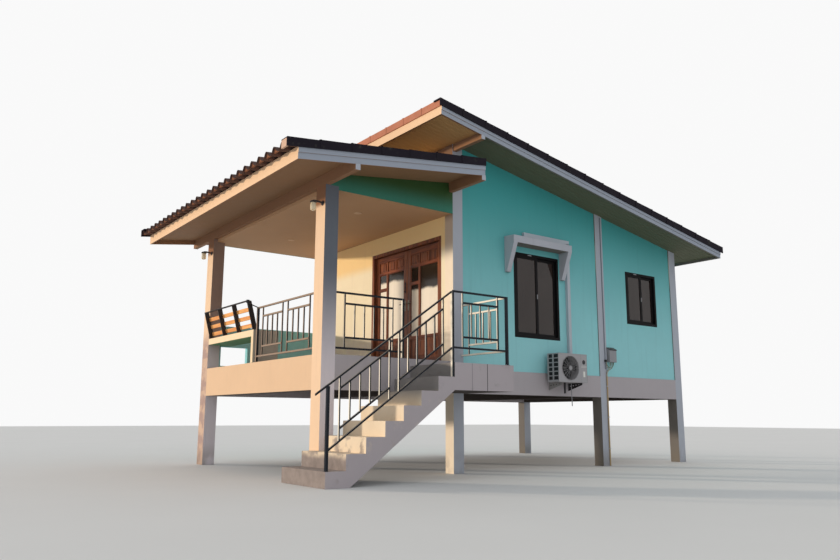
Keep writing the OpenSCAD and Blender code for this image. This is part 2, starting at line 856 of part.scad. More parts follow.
// Flat run of railing along +X from x = 0, climbing by slope, centred on y = 0.
// Panels of balusters stand between full bars, with an open slot between panels.
rail_bottom = floor_top + rail_low;
rail_span = rail_high - rail_low;
module rail_run(length, slope, z0, panels, balusters) {
    slots = panels * (balusters + 2) + 1;
    step = length / slots;
    function line(x) = z0 + slope * x;
    module rail(x0, x1, up) {
        side_shape([[x0, line(x0) + up], [x1, line(x1) + up],
                    [x1, line(x1) + up + rail_t], [x0, line(x0) + up + rail_t]],
                   -rail_t / 2, rail_t / 2);
    }
    module upright(x, low, high) {
        w = baluster_t / 2;
        side_shape([[x - w, line(x - w) + low], [x + w, line(x + w) + low],
                    [x + w, line(x + w) + high], [x - w, line(x - w) + high]], -w, w);
    }
    rail(0, length, 0);
    rail(0, length, rail_span - rail_t);
    for (p = [0:panels - 1]) {
        first = 1 + p * (balusters + 2);
        for (i = [0:balusters + 1]) {
            inner = i > 0 && i < balusters + 1;
            upright((first + i) * step, inner ? rail_inset + rail_t / 2 : rail_t / 2,
                    rail_span - (inner ? rail_inset + rail_t / 2 : rail_t / 2));
        }
        for (up = [rail_inset, rail_span - rail_inset - rail_t])
            rail(first * step, (first + balusters + 1) * step, up);
    }
}

// Posts and runs of the railings
outer_rail_y = -stair_width + rail_back;
top_post_x = landing_x0 - rail_back;
end_post_x = wall_x + column_side - return_in;
newel_x = stair_foot + rail_back;

module post(x, y, z0, z1) {
    block(x - post_t / 2, x + post_t / 2, y - post_t / 2, y + post_t / 2, z0, z1);
}

module stair_railing() {
    run = top_post_x - post_t / 2 - newel_x - post_t / 2;
    x0 = newel_x + post_t / 2;
    z0 = rail_bottom - (run + post_t / 2) * stair_slope;
    nose = rail_nose + post_t;
    color(rail_metal) {
        translate([x0, outer_rail_y, 0]) rail_run(run, stair_slope, z0, 2, 4);
        post(newel_x, outer_rail_y, riser, z0 - post_t / 2 * stair_slope + rail_span - rail_t);
        translate([x0, outer_rail_y, 0])
            side_shape([[-nose, z0 - nose * stair_slope + rail_span - rail_t],
                        [0, z0 + rail_span - rail_t], [0, z0 + rail_span],
                        [-nose, z0 - nose * stair_slope + rail_span]],
                       -rail_t / 2, rail_t / 2);
    }
}

module landing_railing() {
    run = end_post_x - top_post_x - post_t;
    color(rail_metal) {
        translate([top_post_x + post_t / 2, outer_rail_y, 0])
            rail_run(run, 0, rail_bottom, 1, 3);
        post(top_post_x, outer_rail_y, beam_top - riser, rail_bottom + rail_span);
        post(end_post_x, outer_rail_y, beam_top, rail_bottom + rail_span);
    }
}

module return_railing() {
    run = -outer_rail_y - post_t / 2;
    color(rail_metal) translate([end_post_x, outer_rail_y + post_t / 2, 0])
        rotate([0, 0, 90]) rail_run(run, 0, rail_bottom, 1, 3);
}

module porch_side_railing() {
    x = porch_column_w;
    y = rail_face_back;
    color(rail_metal) {
        translate([x, y, 0]) rail_run(side_rail_length - post_t, 0, rail_bottom, 1, 4);
        post(x + side_rail_length - post_t / 2, y, floor_top, rail_bottom + rail_span);
    }
}

module porch_front_railing() {
    x = rail_face_back;
    y = porch_column_d;
    color(rail_metal) {
        translate([x, y, 0]) rotate([0, 0, 90])
            rail_run(front_rail_length - post_t, 0, rail_bottom, 2, 3);
        post(x, y + front_rail_length - post_t / 2, floor_top, rail_bottom + rail_span);
    }
}

// Counter in the far front corner, on a panel at its near end
counter_y0 = porch_column_d + front_rail_length + counter_gap;
counter_top = floor_top + counter_h;
module counter() {
    color(cream) difference() {
        block(0, counter_d, counter_y0, far_column, floor_top, counter_top);
        block(-1, counter_d + 1, counter_y0 + counter_leg, far_column + 1,
              floor_top - 1, counter_top - counter_t);
        block(-1, porch_column_w, far_porch_column, far_column + 1,
              floor_top - 1, counter_top + 1);
    }
}

parapet_end = 50;
module far_parapet() {
    x0 = porch_column_w;
    color(turquoise) difference() {
        block(x0, wall_x, far_column, far_column + wall_t, floor_top, floor_top + parapet_h);
        block(x0 + parapet_end, x0 + parapet_end + parapet_open,
              far_column - 1, far_column + wall_t + 1,
              floor_top + parapet_sill, floor_top + parapet_sill + parapet_open_h);
    }
}

// Rack of three slatted bays, leaning out over the counter's front edge
rack_bar = 30;
rack_end_gap = 110;
rack_y0 = far_column - rack_end_gap - rack_w;
module rack_piece(x, w, z0, z1, y0, y1) {
    lean = tan(rack_lean);
    side_shape([[x - z0 * lean, counter_top + z0], [x + w - z0 * lean, counter_top + z0],
                [x + w - z1 * lean, counter_top + z1], [x - z1 * lean, counter_top + z1]],
               y0, y1);
}

module slat_rack() {
    bay = (rack_w - 4 * rack_bar) / 3;
    slat_h = rack_h / 7;
    y1 = rack_y0 + rack_w;
    color(door_wood) {
        for (i = [0:3])
            rack_piece(0, rack_d, 0, rack_h, rack_y0 + i * (bay + rack_bar),
                       rack_y0 + i * (bay + rack_bar) + rack_bar);
        rack_piece(0, rack_bar, rack_h - rack_bar, rack_h, rack_y0, y1);
        for (k = [0:2])
            rack_piece(rack_d - rack_bar, rack_bar / 2, slat_h * (0.6 + 2 * k),
                       slat_h * (1.6 + 2 * k), rack_y0, y1);
    }
}

// Air conditioner
ac_x0 = wall_x + ac_at;
ac_z0 = beam_bottom + ac_up;
ac_y1 = -ac_off;
ac_y0 = ac_y1 - ac_d;
fan_centre = [ac_x0 + fan_at, ac_y0, ac_z0 + ac_h / 2];
ac_skin = 12;
guard_t = 6;
guard_wire = 3;
hub_r = 42;
fan_gap = 12;
blade_w = 38;
blade_t = 4;
blade_angle = 14;
blade_chord = 96;
blade_root = 6;
blade_tip_gap = 8;
vent_rows = 6;

module at_fan() { translate(fan_centre) rotate([-90, 0, 0]) children(); }

module ac_case() {
    vent_h = ac_h / 9;
    vent_w = ac_d / 4;
    color(ac_white) difference() {
        block(ac_x0, ac_x0 + ac_w, ac_y0, ac_y1, ac_z0, ac_z0 + ac_h);
        at_fan() difference() {
            translate([0, 0, -1]) cylinder(r = fan_r, h = fan_recess + 1);
            translate([0, 0, guard_t + fan_gap + blade_w + 2])
                cylinder(r = hub_r, h = fan_recess);
        }
        for (i = [0:vent_rows - 1]) for (k = [0, 1])
            translate([ac_x0 - 1, ac_y0 + ac_d * (0.3 + 0.33 * k),
                       ac_z0 + ac_h * (0.5 + (i - (vent_rows - 1) / 2) * 0.145) - vent_h / 2])
                cube([ac_skin + 1, vent_w, vent_h]);
    }
}

module ac_guard() {
    color(trim_grey) at_fan() {
        for (r = [fan_r + 4, fan_r * 0.66, fan_r * 0.36])
            translate([0, 0, -guard_t]) difference() {
                cylinder(r = r, h = guard_t);
                translate([0, 0, -1]) cylinder(r = r - guard_t, h = guard_t + 2);
            }
        translate([0, 0, -guard_t]) cylinder(r = hub_r * 0.7, h = guard_t);
        for (i = [0:guard_bars - 1]) rotate([0, 0, i * 360 / guard_bars])
            translate([hub_r * 0.5, -guard_wire / 2, -guard_t])
                cube([fan_r - hub_r * 0.5, guard_wire, guard_t]);
    }
}

// Fan: a hub with flat blades set at an angle
module ac_fan() {
    color(frame_black) at_fan() translate([0, 0, guard_t + fan_gap]) {
        cylinder(r = hub_r, h = blade_w);
        for (i = [0:blade_count - 1]) rotate([0, 0, i * 360 / blade_count])
            translate([0, 0, blade_w / 2]) rotate([blade_angle, 0, 0])
                translate([hub_r - blade_root, -blade_chord / 2, -blade_t / 2])
                    cube([fan_r - hub_r - blade_root - blade_tip_gap, blade_chord, blade_t]);
    }
}

// Two tapered wall brackets with a row of holes
bracket_t = 30;
bracket_web = 4;
bracket_in = 90;
bracket_root = 130;
bracket_tip = 35;
bracket_short = 15;
hole_r = 11;
module ac_brackets() {
    reach = -ac_y0 - bracket_short;
    hole_step = reach / 5;
    fall = (bracket_root - bracket_tip) / 14;
    color(trim_grey) for (x = [ac_x0 + bracket_in, ac_x0 + ac_w - bracket_in - bracket_t]) {
        difference() {
            cross_shape([[0, ac_z0 - bracket_root], [0, ac_z0], [-reach, ac_z0],
                         [-reach, ac_z0 - bracket_tip]], x, x + bracket_web);
            for (i = [0:3])
                translate([x - 1, -(i + 0.8) * hole_step, ac_z0 - bracket_root * 0.37 + i * fall])
                    rotate([0, 90, 0]) cylinder(r = hole_r - i, h = bracket_web + 2);
        }
        block(x, x + bracket_t, -reach, 0, ac_z0 - bracket_web, ac_z0);
    }
}

// Pipe trunking: along the wall over the hood, then down behind the air conditioner
trunking_in = 30;
trunking_start = 210;
trunking_over = 45;
module pipe_trunking() {
    x1 = ac_x0 + ac_w - trunking_in;
    x0 = x1 - trunking_w;
    z0 = hood_z1 + hood_fall + trunking_over;
    y0 = near_wall_y - trunking_d;
    color(ac_white) {
        block(x0, x1, y0, near_wall_y, ac_z0 + ac_h * 0.7, z0 + trunking_w);
        block(wall_x + window_a_at + trunking_start, x0, y0, near_wall_y, z0, z0 + trunking_w);
    }
}

// Meter box with a sloping top, and the conduit on the middle column
meter_off = 12;
meter_fall = 45;
meter_x0 = mid_x + column_side + meter_off;
meter_z0 = beam_top + meter_up;
module meter_box() {
    y0 = near_wall_y - meter_d;
    color(trim_grey)
        cross_shape([[near_wall_y, meter_z0], [near_wall_y, meter_z0 + meter_h],
                     [y0, meter_z0 + meter_h - meter_fall], [y0, meter_z0]],
                    meter_x0, meter_x0 + meter_w);
}

conduit_in = 20;
conduit_gap = 190;
upper_pipe_r = 8;
upper_pipe_in = 50;
upper_pipe_start = 130;
module conduit() {
    x = mid_x + column_side;
    top = main_z(x) + main_soffit_up - 2 * upper_pipe_r;
    color(cement) {
        translate([x - conduit_in - conduit_r, -conduit_r, 0])
            cylinder(r = conduit_r, h = meter_z0 - conduit_gap);
        translate([x - upper_pipe_in - upper_pipe_r, -upper_pipe_r, meter_z0 - upper_pipe_start])
            cylinder(r = upper_pipe_r, h = top - meter_z0 + upper_pipe_start);
    }
}

// Lamps on the porch columns: a back plate, an arm and a hanging jar
lamp_z = floor_top + lamp_up;
lamp_y = 75;
plate_r = 38;
plate_t = 12;
arm_t = 24;
lid_h = 32;
lid_past = 3;
jar_t = 3;
jar_z1 = lamp_z - lid_h + arm_t / 2;
module at_lamps() {
    for (y = [lamp_y, far_porch_column + lamp_y]) translate([0, y, 0]) children();
}

module wall_lamps() {
    color(frame_black) at_lamps() {
        translate([-plate_t, 0, lamp_z]) rotate([0, 90, 0]) cylinder(r = plate_r, h = plate_t);
        block(-lamp_reach, -plate_t, -arm_t / 2, arm_t / 2,
              lamp_z - arm_t / 2, lamp_z + arm_t / 2);
        translate([-lamp_reach, 0, jar_z1]) cylinder(r = jar_r + lid_past, h = lid_h);
    }
}

module lamp_jars() {
    color(pane) at_lamps() translate([-lamp_reach, 0, jar_z1 - jar_h]) difference() {
        cylinder(r = jar_r, h = jar_h);
        translate([0, 0, jar_t]) cylinder(r = jar_r - jar_t, h = jar_h);
    }
}

downlight_x = 0.47;
downlight_ys = [0.2, 0.72];
downlight_t = 8;
module downlights() {
    color(ac_white) for (y = house_width * downlight_ys)
        translate([wall_x * downlight_x, y, ceiling_z - downlight_t])
            cylinder(r = downlight_r, h = downlight_t);
}

module placed() { translate(-origin) children(); }

placed() porch_columns();
placed() house_columns();
placed() porch_beams();
placed() side_beams();
placed() cross_beams();
placed() porch_floor();
placed() house_floor();
placed() landing();
placed() stair_flight();
placed() side_walls();
placed() rear_wall();
placed() front_wall_sides();
placed() front_wall_over();
placed() porch_ceiling();
placed() porch_infill();
placed() roof_beams();
placed() porch_soffit();
placed() main_soffit();
placed() rafters();
placed() fascias();
placed() rake_boards();
placed() porch_tiles();
placed() main_tiles();
placed() verge_caps();
placed() ridge_cap();
placed() window_frames();
placed() window_glass();
placed() window_hoods();
placed() door_frame();
placed() door_leaf_near();
placed() door_glass_near();
placed() door_leaf_far();
placed() door_glass_far();
placed() stair_railing();
placed() landing_railing();
placed() return_railing();
placed() porch_side_railing();
placed() porch_front_railing();
placed() counter();
placed() far_parapet();
placed() slat_rack();
placed() ac_case();
placed() ac_guard();
placed() ac_fan();
placed() ac_brackets();
placed() pipe_trunking();
placed() meter_box();
placed() conduit();
placed() wall_lamps();
placed() lamp_jars();
placed() downlights();
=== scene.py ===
# %% [markdown]
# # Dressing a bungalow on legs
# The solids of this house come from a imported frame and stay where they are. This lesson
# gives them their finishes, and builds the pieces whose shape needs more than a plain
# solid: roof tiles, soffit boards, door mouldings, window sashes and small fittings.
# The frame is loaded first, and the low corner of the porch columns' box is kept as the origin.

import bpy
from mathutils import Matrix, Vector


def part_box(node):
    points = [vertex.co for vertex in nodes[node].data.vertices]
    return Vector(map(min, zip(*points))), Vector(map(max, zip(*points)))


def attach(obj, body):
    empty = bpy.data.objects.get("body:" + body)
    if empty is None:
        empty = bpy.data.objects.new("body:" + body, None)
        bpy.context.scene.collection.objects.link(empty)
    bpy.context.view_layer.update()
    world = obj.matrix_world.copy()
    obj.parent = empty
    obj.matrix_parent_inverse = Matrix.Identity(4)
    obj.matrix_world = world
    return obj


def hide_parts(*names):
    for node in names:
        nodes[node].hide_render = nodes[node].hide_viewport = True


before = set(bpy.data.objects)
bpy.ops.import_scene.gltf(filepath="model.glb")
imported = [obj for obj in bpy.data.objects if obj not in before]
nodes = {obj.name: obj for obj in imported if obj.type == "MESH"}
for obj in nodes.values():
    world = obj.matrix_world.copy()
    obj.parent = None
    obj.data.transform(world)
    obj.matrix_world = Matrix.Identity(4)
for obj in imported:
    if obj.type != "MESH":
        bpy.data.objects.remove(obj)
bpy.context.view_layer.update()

import math

import bmesh
import bpy
from mathutils import Matrix, Vector

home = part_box("porch_columns")[0]

# %% [markdown]
# ## Camera
# The photograph was taken from low down in front of the stair, with the camera tilted up.
# Its place and its three axes were worked out from the vanishing points of the house, so
# the camera gets them as a matrix and not as angles.

# %% The photograph's camera
def new_object(name, data):
    """An object of this data, in the scene."""
    made = bpy.data.objects.new(name, data)
    bpy.context.scene.collection.objects.link(made)
    return made


camera_data = bpy.data.cameras.new("photo_camera")
camera_data.lens, camera_data.sensor_width = 32.14, 36
camera = new_object("photo_camera", camera_data)
right, up, ahead = (0.8035, -0.5953, 0.0034), (-0.11, -0.1429, 0.9836), (0.5851, 0.7907, 0.1803)
turn = Matrix((right, up, [-a for a in ahead])).transposed().normalized()
camera.matrix_world = Matrix.Translation(home + Vector((-4.995, -9.0, 0.8325))) @ turn.to_4x4()
bpy.context.scene.camera = camera
print("camera at", [round(x, 3) for x in camera.location])

# %% [markdown]
# ## Shader sums as Python
# A material is a graph of nodes. Wiring it by hand hides the idea behind the pattern, so
# the class Wire wraps one socket and lets a mask be written as a sum. It serves Geometry
# Nodes and the world too, because every kind of tree has the Math node.

# %% A tree of nodes, and a socket that can be added and multiplied
class Graph:
    def __init__(self, tree):
        self.tree = tree

    def node(self, kind, sockets=None, out=0, **settings):
        """Any node: its settings first, then the values or links of its sockets."""
        made = self.tree.nodes.new(kind)
        for key, value in settings.items():
            setattr(made, key, value)
        for key, value in (sockets or {}).items():
            if isinstance(value, Wire):
                self.tree.links.new(value.socket, made.inputs[key])
            else:
                made.inputs[key].default_value = value
        return Wire(self.tree, made.outputs[out])


class Wire(Graph):
    """One socket of a tree. Two of them give their larger value when joined with |."""
    def __init__(self, tree, socket):
        self.tree, self.socket = tree, socket

    def math(self, operation, first, second=0.0):
        return self.node("ShaderNodeMath", {0: first, 1: second}, operation=operation)

    def __add__(self, other): return self.math("ADD", self, other)
    def __radd__(self, other): return self.math("ADD", other, self)
    def __sub__(self, other): return self.math("SUBTRACT", self, other)
    def __rsub__(self, other): return self.math("SUBTRACT", other, self)
    def __mul__(self, other): return self.math("MULTIPLY", self, other)
    def __rmul__(self, other): return self.math("MULTIPLY", other, self)
    def __abs__(self): return self.math("ABSOLUTE", self)
    def __or__(self, other): return self.math("MAXIMUM", self, other)

    def step(self, low, high):
        """0 below low, 1 above high, smooth between; low may be the larger number."""
        return self.node("ShaderNodeMapRange", interpolation_type="SMOOTHSTEP",
                         sockets={"Value": self, "From Min": low, "From Max": high})


print("Wire wraps a socket")

# %% [markdown]
# A finish starts from a Principled shader. The pattern is placed by Object coordinates,
# which are metres on this house, so every scale below is a real one. `facing` reads the
# surface's own direction, which tells a tread from a riser.

# %% A finish under construction
class Finish(Graph):
    def __init__(self, name, **constants):
        self.material = bpy.data.materials.new(name)
        self.material.use_nodes = True
        self.tree = self.material.node_tree
        self.shader = self.tree.nodes["Principled BSDF"]
        for socket, value in constants.items():
            self.shader.inputs[socket.replace("_", " ")].default_value = value
        self.place = self.node("ShaderNodeTexCoord", out=3)

    def noise(self, scale, detail=4.0, stretch=(1, 1, 1), roughness=0.55, bend=0.0):
        """Cloudy noise of about `scale` blotches a metre, drawn out by `stretch`."""
        moved = self.node("ShaderNodeMapping", {"Vector": self.place, "Scale": stretch})
        return self.node("ShaderNodeTexNoise", {
            "Vector": moved, "Scale": scale, "Detail": detail, "Roughness": roughness,
            "Distortion": bend})

    def axis(self, i, vector=None):
        return self.node("ShaderNodeSeparateXYZ", {"Vector": vector or self.place}, i)

    def facing(self, i):
        return self.axis(i, self.node("ShaderNodeTexCoord", out=1))

    def along(self, i, start, end):
        """0 before `start` and 1 past `end`, two places of the house on axis i."""
        return self.axis(i).step(home[i] + start, home[i] + end)

    def back(self, i, low, high):
        """1 where the surface looks back along axis i."""
        return (0 - self.facing(i)).step(low, high)

    def tint(self, shade, tone):
        """A colour made lighter or darker by a tone near 1."""
        return self.node("ShaderNodeVectorMath", {0: shade, "Scale": tone}, operation="SCALE")

    def mix(self, first, second, share):
        first, second = [v if isinstance(v, Wire) else (*v, 1) for v in (first, second)]
        return self.node("ShaderNodeMix", {0: share, 6: first, 7: second}, 2, data_type="RGBA")

    def over(self, surface, shade, tone, share):
        """A toned colour laid over a share of the surface."""
        return self.mix(surface, self.tint(shade, tone), share)

    def finished(self, height=None, depth=0.0, **fed):
        """The material, with the named sockets fed and a bump of `depth` metres."""
        if height:
            fed["Normal"] = self.node("ShaderNodeBump", {
                "Height": height, "Distance": depth, "Strength": 1.0})
        for socket, value in fed.items():
            self.tree.links.new(value.socket, self.shader.inputs[socket.replace("_", " ")])
        return self.material


def rgb(red, green, blue):
    """A colour given as it looks on a screen, from 0 to 255, as shader numbers."""
    return tuple(((v / 255 + 0.055) / 1.055) ** 2.4 if v > 10 else v / 3295
                 for v in (red, green, blue))


print("Finish ready")

# %% [markdown]
# ## Painted render
# The walls are brick, rendered smooth and painted. Paint outdoors is never even: it fades
# in clouds about a metre across, rain leaves faint upright runs, and mud splashes the
# lowest part of the legs. Three noises of different stretch do this, and a fine one gives
# the roller's stipple.

# %% Wall and trim paint
# mud is real dirt. The grey after it is painted shade on the porch-side faces of the legs under
# the house, the dark brown after that painted shade on undersides, the peach painted low sunlight,
# and shade_brown painted shade on beams and boards under the roofs.
mud, leg_shade_grey, underside_shade = (0.2, 0.17, 0.13), rgb(118, 112, 106), rgb(56, 46, 40)
sunlit_peach, shade_brown = rgb(228, 193, 158), rgb(150, 110, 80)
column_grey = rgb(184, 188, 198)


def painted_render(name, base, front=None, under=None, ends=None, fades=(), high=(),
                   runs=0.07, splash=0.0, foot=(0.02, 0.42), soil=mud, deep=(2.9, 3.3),
                   deep_shade=leg_shade_grey, weathered=None):
    """Paint of one colour, with painted light and shade laid over it. `front` is painted low
    sunlight on the faces that look at the porch side; between the two places `deep` it turns to
    `deep_shade`, which is painted shade, and each of `high` is a band of painted shade higher up.
    `weathered` is the mottled colour of those low on the far column. `under` is painted shade on
    undersides, which turns to `deep_shade` under the house, and `ends` a colour on near-side
    faces between two depths.
    Each of `fades` is a colour, an axis, and the two places between which it takes over."""
    f = Finish(name)
    blots = f.noise(7, 5)
    streaks = f.noise(1, 5, stretch=(11, 11, 0.5), bend=0.4).step(0.52, 0.78)
    tone = 0.9 + 0.14 * f.noise(0.9, 3) + 0.06 * blots - runs * streaks
    surface = f.tint(base, tone)
    for shade, axis, start, end in fades:
        surface = f.over(surface, shade, tone, f.along(axis, start, end))
    if front:
        warm = f.mix(f.tint(front, tone), deep_shade, f.along(0, *deep))
        for shade, start, end in high:
            warm = f.over(warm, shade, tone, f.along(2, start, end))
        if weathered:
            low_far = f.along(1, 3.0, 3.4) * f.along(2, 2.5, 2.0)
            warm = f.over(warm, weathered, tone,
                          low_far * (0.55 + 0.45 * f.noise(6, 6).step(0.4, 0.6)))
        surface = f.mix(surface, warm, f.back(0, 0.5, 0.8))
    if under:
        below = f.mix(f.tint(under, tone), deep_shade, f.along(0, 2.3, 2.5))
        surface = f.mix(surface, below, f.back(2, 0.6, 0.9))
    if ends:
        surface = f.over(surface, ends[0], tone, f.back(1, 0.6, 0.9) * f.along(1, *ends[1:]))
    low = f.along(2, foot[1], foot[0]) * f.noise(5, 6, stretch=(1, 1, 0.6)).step(0.3, 0.62)
    return f.finished(f.noise(160, 3) + 0.8 * f.noise(22, 4), 0.0012,
                      Base_Color=f.mix(surface, soil, low * splash),
                      Roughness=0.62 + 0.22 * blots)


# The turquoise is deeper towards the top and paler low down, a gradient between 1.8 m and 4.8 m
# that is painted shade under the eaves.
turquoise = painted_render("turquoise_render", rgb(66, 170, 170),
                           fades=[(rgb(158, 221, 225), 2, 4.8, 1.8)])
# The infill's dark green is painted shade under the porch roof, a little lighter below 4 m.
infill_green = painted_render("infill_render", rgb(44, 82, 30),
                              fades=[(rgb(56, 132, 112), 2, 4.36, 4.02)])
# Above 3.4 m the front wall's cream turns deeper yellow: painted shade under the porch roof.
wall_cream = painted_render("front_wall_render", rgb(255, 241, 208), runs=0.05, splash=0.8,
                            fades=[(rgb(255, 220, 158), 2, 3.4, 3.62)],
                            foot=(1.7, 2.6), soil=rgb(236, 218, 206))
# The porch columns' porch-side faces are painted low sunlight, with painted shade above 3.8 m.
# Their slate sides pale towards the foot, so the darker upper part is painted shade, and they turn
# browner towards the far column. The mottling low on the far column is weathering.
column_paint = painted_render(
    "porch_column_paint", rgb(106, 112, 122), rgb(240, 206, 172), splash=0.5,
    high=[(rgb(150, 106, 76), 3.76, 3.84)], weathered=rgb(178, 150, 140),
    fades=[(rgb(150, 128, 118), 1, 1, 3), (rgb(236, 226, 230), 2, 3.0, 1.3)])
# The floor beams' porch-side faces are painted low sunlight at the porch front and painted shade
# further back; their undersides are painted shade.
beam_paint = painted_render("floor_beam_paint", rgb(186, 178, 181), sunlit_peach, underside_shade,
                            runs=0.03, deep=(0.6, 0.9), deep_shade=underside_shade)
# The house columns' porch-side faces are painted low sunlight, with bands of painted shade from
# 3.38 m and from 3.9 m; under the house, past 3.3 m, those faces take painted shade.
trim_paint = painted_render("house_column_paint", column_grey, rgb(255, 238, 214),
                            high=[(rgb(206, 186, 166), 3.38, 3.62),
                                  (rgb(140, 106, 82), 3.9, 4.1)], splash=0.5)
# The roof beams' brown is painted shade; their ends on the near side show the grey paint.
roof_beam_paint = painted_render("roof_beam_paint", shade_brown, ends=(column_grey, 0.4, 0.2),
                                 runs=0.02)
# The roof boards' porch-side faces are painted low sunlight; their undersides, and the inner faces
# of the far rake board, take the brown painted shade.
board_paint = painted_render("roof_board_paint", rgb(166, 173, 186), rgb(246, 207, 168),
                             shade_brown, (shade_brown, 4.0, 4.4), runs=0.03)
# The hoods' dark grey undersides are painted shade.
hood_paint = painted_render("hood_paint", rgb(186, 188, 196), under=rgb(92, 96, 98),
                            runs=0.08)
# The porch soffit's brown is painted shade under the porch roof.
soffit_paint = painted_render("porch_soffit_paint", rgb(148, 112, 80), runs=0.02)
# The main soffit's warm yellow is partly painted low sunlight, and past the front wall, over the
# side, it turns dark olive: painted shade.
main_soffit_paint = painted_render("main_soffit_paint", rgb(213, 170, 112), runs=0.02,
                                   fades=[(rgb(97, 100, 76), 0, 2.28, 2.42)])
# The porch ceiling's warm tan is painted shade under the porch roof.
ceiling_paint = painted_render("ceiling_paint", rgb(196, 154, 116), runs=0.02)
# The counter's porch-side faces are painted low sunlight, and its green undersides painted shade.
counter_paint = painted_render("counter_paint", rgb(196, 184, 166), rgb(252, 224, 186),
                               rgb(104, 156, 112), runs=0.06)
print("paints", len(bpy.data.materials))

# %% [markdown]
# ## Bare cement
# The stair, the landing and the floors are trowelled cement: grey with darker damp clouds,
# small pits and pale sand grains. The side of the stair is painted like the legs, so the
# finish asks which way the surface faces.

# %% Cement, with a painted side where asked
def cement_finish(name, base, painted_side=None, low_sunlit=None, lowest=None, dirt=()):
    """Cement, with painted shade on its undersides. A stair has a painted side, a pale colour
    below 1.25 m that is painted low sunlight, and a mottled colour on the first steps that is
    painted shade of leaves. Each of `dirt` is the place and the strength of a thin dark run
    down the painted side."""
    f = Finish(name)
    clouds = f.noise(1.6, 6, roughness=0.65)
    grain = f.noise(90, 4)
    pits = f.noise(38, 3).step(0.33, 0.26)
    surface = f.tint(base, 0.78 + 0.34 * clouds + 0.16 * grain - 0.35 * pits)
    surface = f.mix(surface, tuple(0.45 * v for v in base),
                    f.noise(0.8, 5).step(0.55, 0.72) * 0.35)
    if painted_side:
        # Painted low sunlight on the lower steps, then mottled painted leaf shade on the first
        # steps.
        surface = f.over(surface, low_sunlit, 0.8 + 0.3 * clouds, f.along(2, 1.25, 0.95))
        mottled = f.along(2, 0.6, 0.57) * f.noise(5, 5).step(0.44, 0.6) * 0.8
        leaf_shadow = (f.axis(2) + 0.1 * f.noise(6, 5)).step(0.46, 0.36)
        surface = f.over(surface, lowest, 0.6 + 0.8 * f.noise(9, 4), leaf_shadow | mottled)
        side_paint = f.tint(painted_side, 0.92 + 0.12 * clouds)
        for place, strength in dirt:
            off = f.axis(0) - (home[0] + place) + 0.004 * f.noise(9, 2)
            run = abs(off).step(0.008, 0.003) * strength
            side_paint = f.mix(side_paint, rgb(44, 40, 44), run)
        chipped = 1 - 0.3 * f.noise(6, 6).step(0.56, 0.7)
        surface = f.mix(surface, side_paint, abs(f.facing(1)).step(0.6, 0.8) * chipped)
    # Undersides take painted shade.
    surface = f.over(surface, underside_shade, 0.8 + 0.4 * clouds, f.back(2, 0.4, 0.6))
    return f.finished(grain - 1.5 * pits + 0.6 * f.noise(12, 4), 0.0016,
                      Base_Color=surface, Roughness=0.72 + 0.2 * grain)


cement = cement_finish("floor_cement", rgb(158, 153, 146))
# On the stair, the darker grey of the upper steps is painted shade, the pale cream below 1.25 m
# painted low sunlight, and the mottled grey-brown on the first steps painted shade of leaves. The
# two dark runs down the landing's side are dirt.
stair_cement = cement_finish("stair_cement", rgb(142, 137, 134), rgb(188, 178, 181),
                             rgb(242, 222, 194), rgb(146, 134, 128),
                             dirt=((1.808, 0.45), (2.087, 0.95)))
print("cement ready")

# %% [markdown]
# ## Tiles, wood, metal, plastic and glass
# The remaining finishes follow the same plan. A tile takes one tone of its own, stored on
# it when it was laid. Wood grain is noise drawn out along the board. Metal and plastic are
# nearly even, so dust and small scratches have to carry them.

# %% Roof tile and cap
def tile_finish(name, base, dusty, cut=None, shine=0.3):
    """Coated concrete. `cut` is the bare colour of the ends that look at the porch side."""
    f = Finish(name, Specular_IOR_Level=shine)
    own = f.node("ShaderNodeAttribute", out=2, attribute_name="tone")
    clouds, specks = f.noise(2.5, 5), f.noise(60, 3)
    surface = f.tint(base, 0.62 + 0.45 * own + 0.3 * clouds + 0.2 * specks)
    surface = f.mix(surface, dusty, f.noise(4, 6, roughness=0.7).step(0.5, 0.8) * 0.35)
    surface = f.mix(surface, moss, f.noise(11, 6).step(0.6, 0.74) * 0.3)
    if cut:
        surface = f.over(surface, cut, 0.75 + 0.5 * clouds, f.back(0, 0.7, 0.95))
    return f.finished(specks + f.noise(18, 4), 0.002,
                      Base_Color=surface, Roughness=0.6 + 0.25 * clouds)


moss = (0.11, 0.115, 0.085)
tile_brown = tile_finish("tile_brown", rgb(84, 60, 54), rgb(124, 98, 86),
                         rgb(60, 42, 36))
cap_brown = tile_finish("verge_cap", rgb(38, 33, 42), rgb(56, 50, 56), shine=0.1)
mortar = tile_finish("tile_filler", rgb(150, 98, 70), rgb(130, 86, 64))
mortar_pale = tile_finish("cap_filler", rgb(222, 184, 160), rgb(190, 150, 126))
# The ridge cap's red-brown is partly painted low sunlight.
cap_red = tile_finish("ridge_cap", rgb(204, 134, 106), rgb(212, 158, 130))
print("tile finishes ready")

# %% Wood with its grain along one axis
def wood_finish(name, light, dark, along, coat, rough):
    f = Finish(name, Coat_Weight=coat, Coat_Roughness=0.25)
    stretch = [1.6 if i == along else 26 for i in range(3)]
    bands = f.noise(1.0, 5, stretch=stretch, bend=0.6)
    pores = f.noise(7.0, 3, stretch=stretch)
    return f.finished(bands + 0.5 * pores, 0.0006, Roughness=rough + 0.18 * pores,
                      Base_Color=f.mix(light, dark, bands.step(0.36, 0.66) * 0.75
                                       + 0.25 * pores))


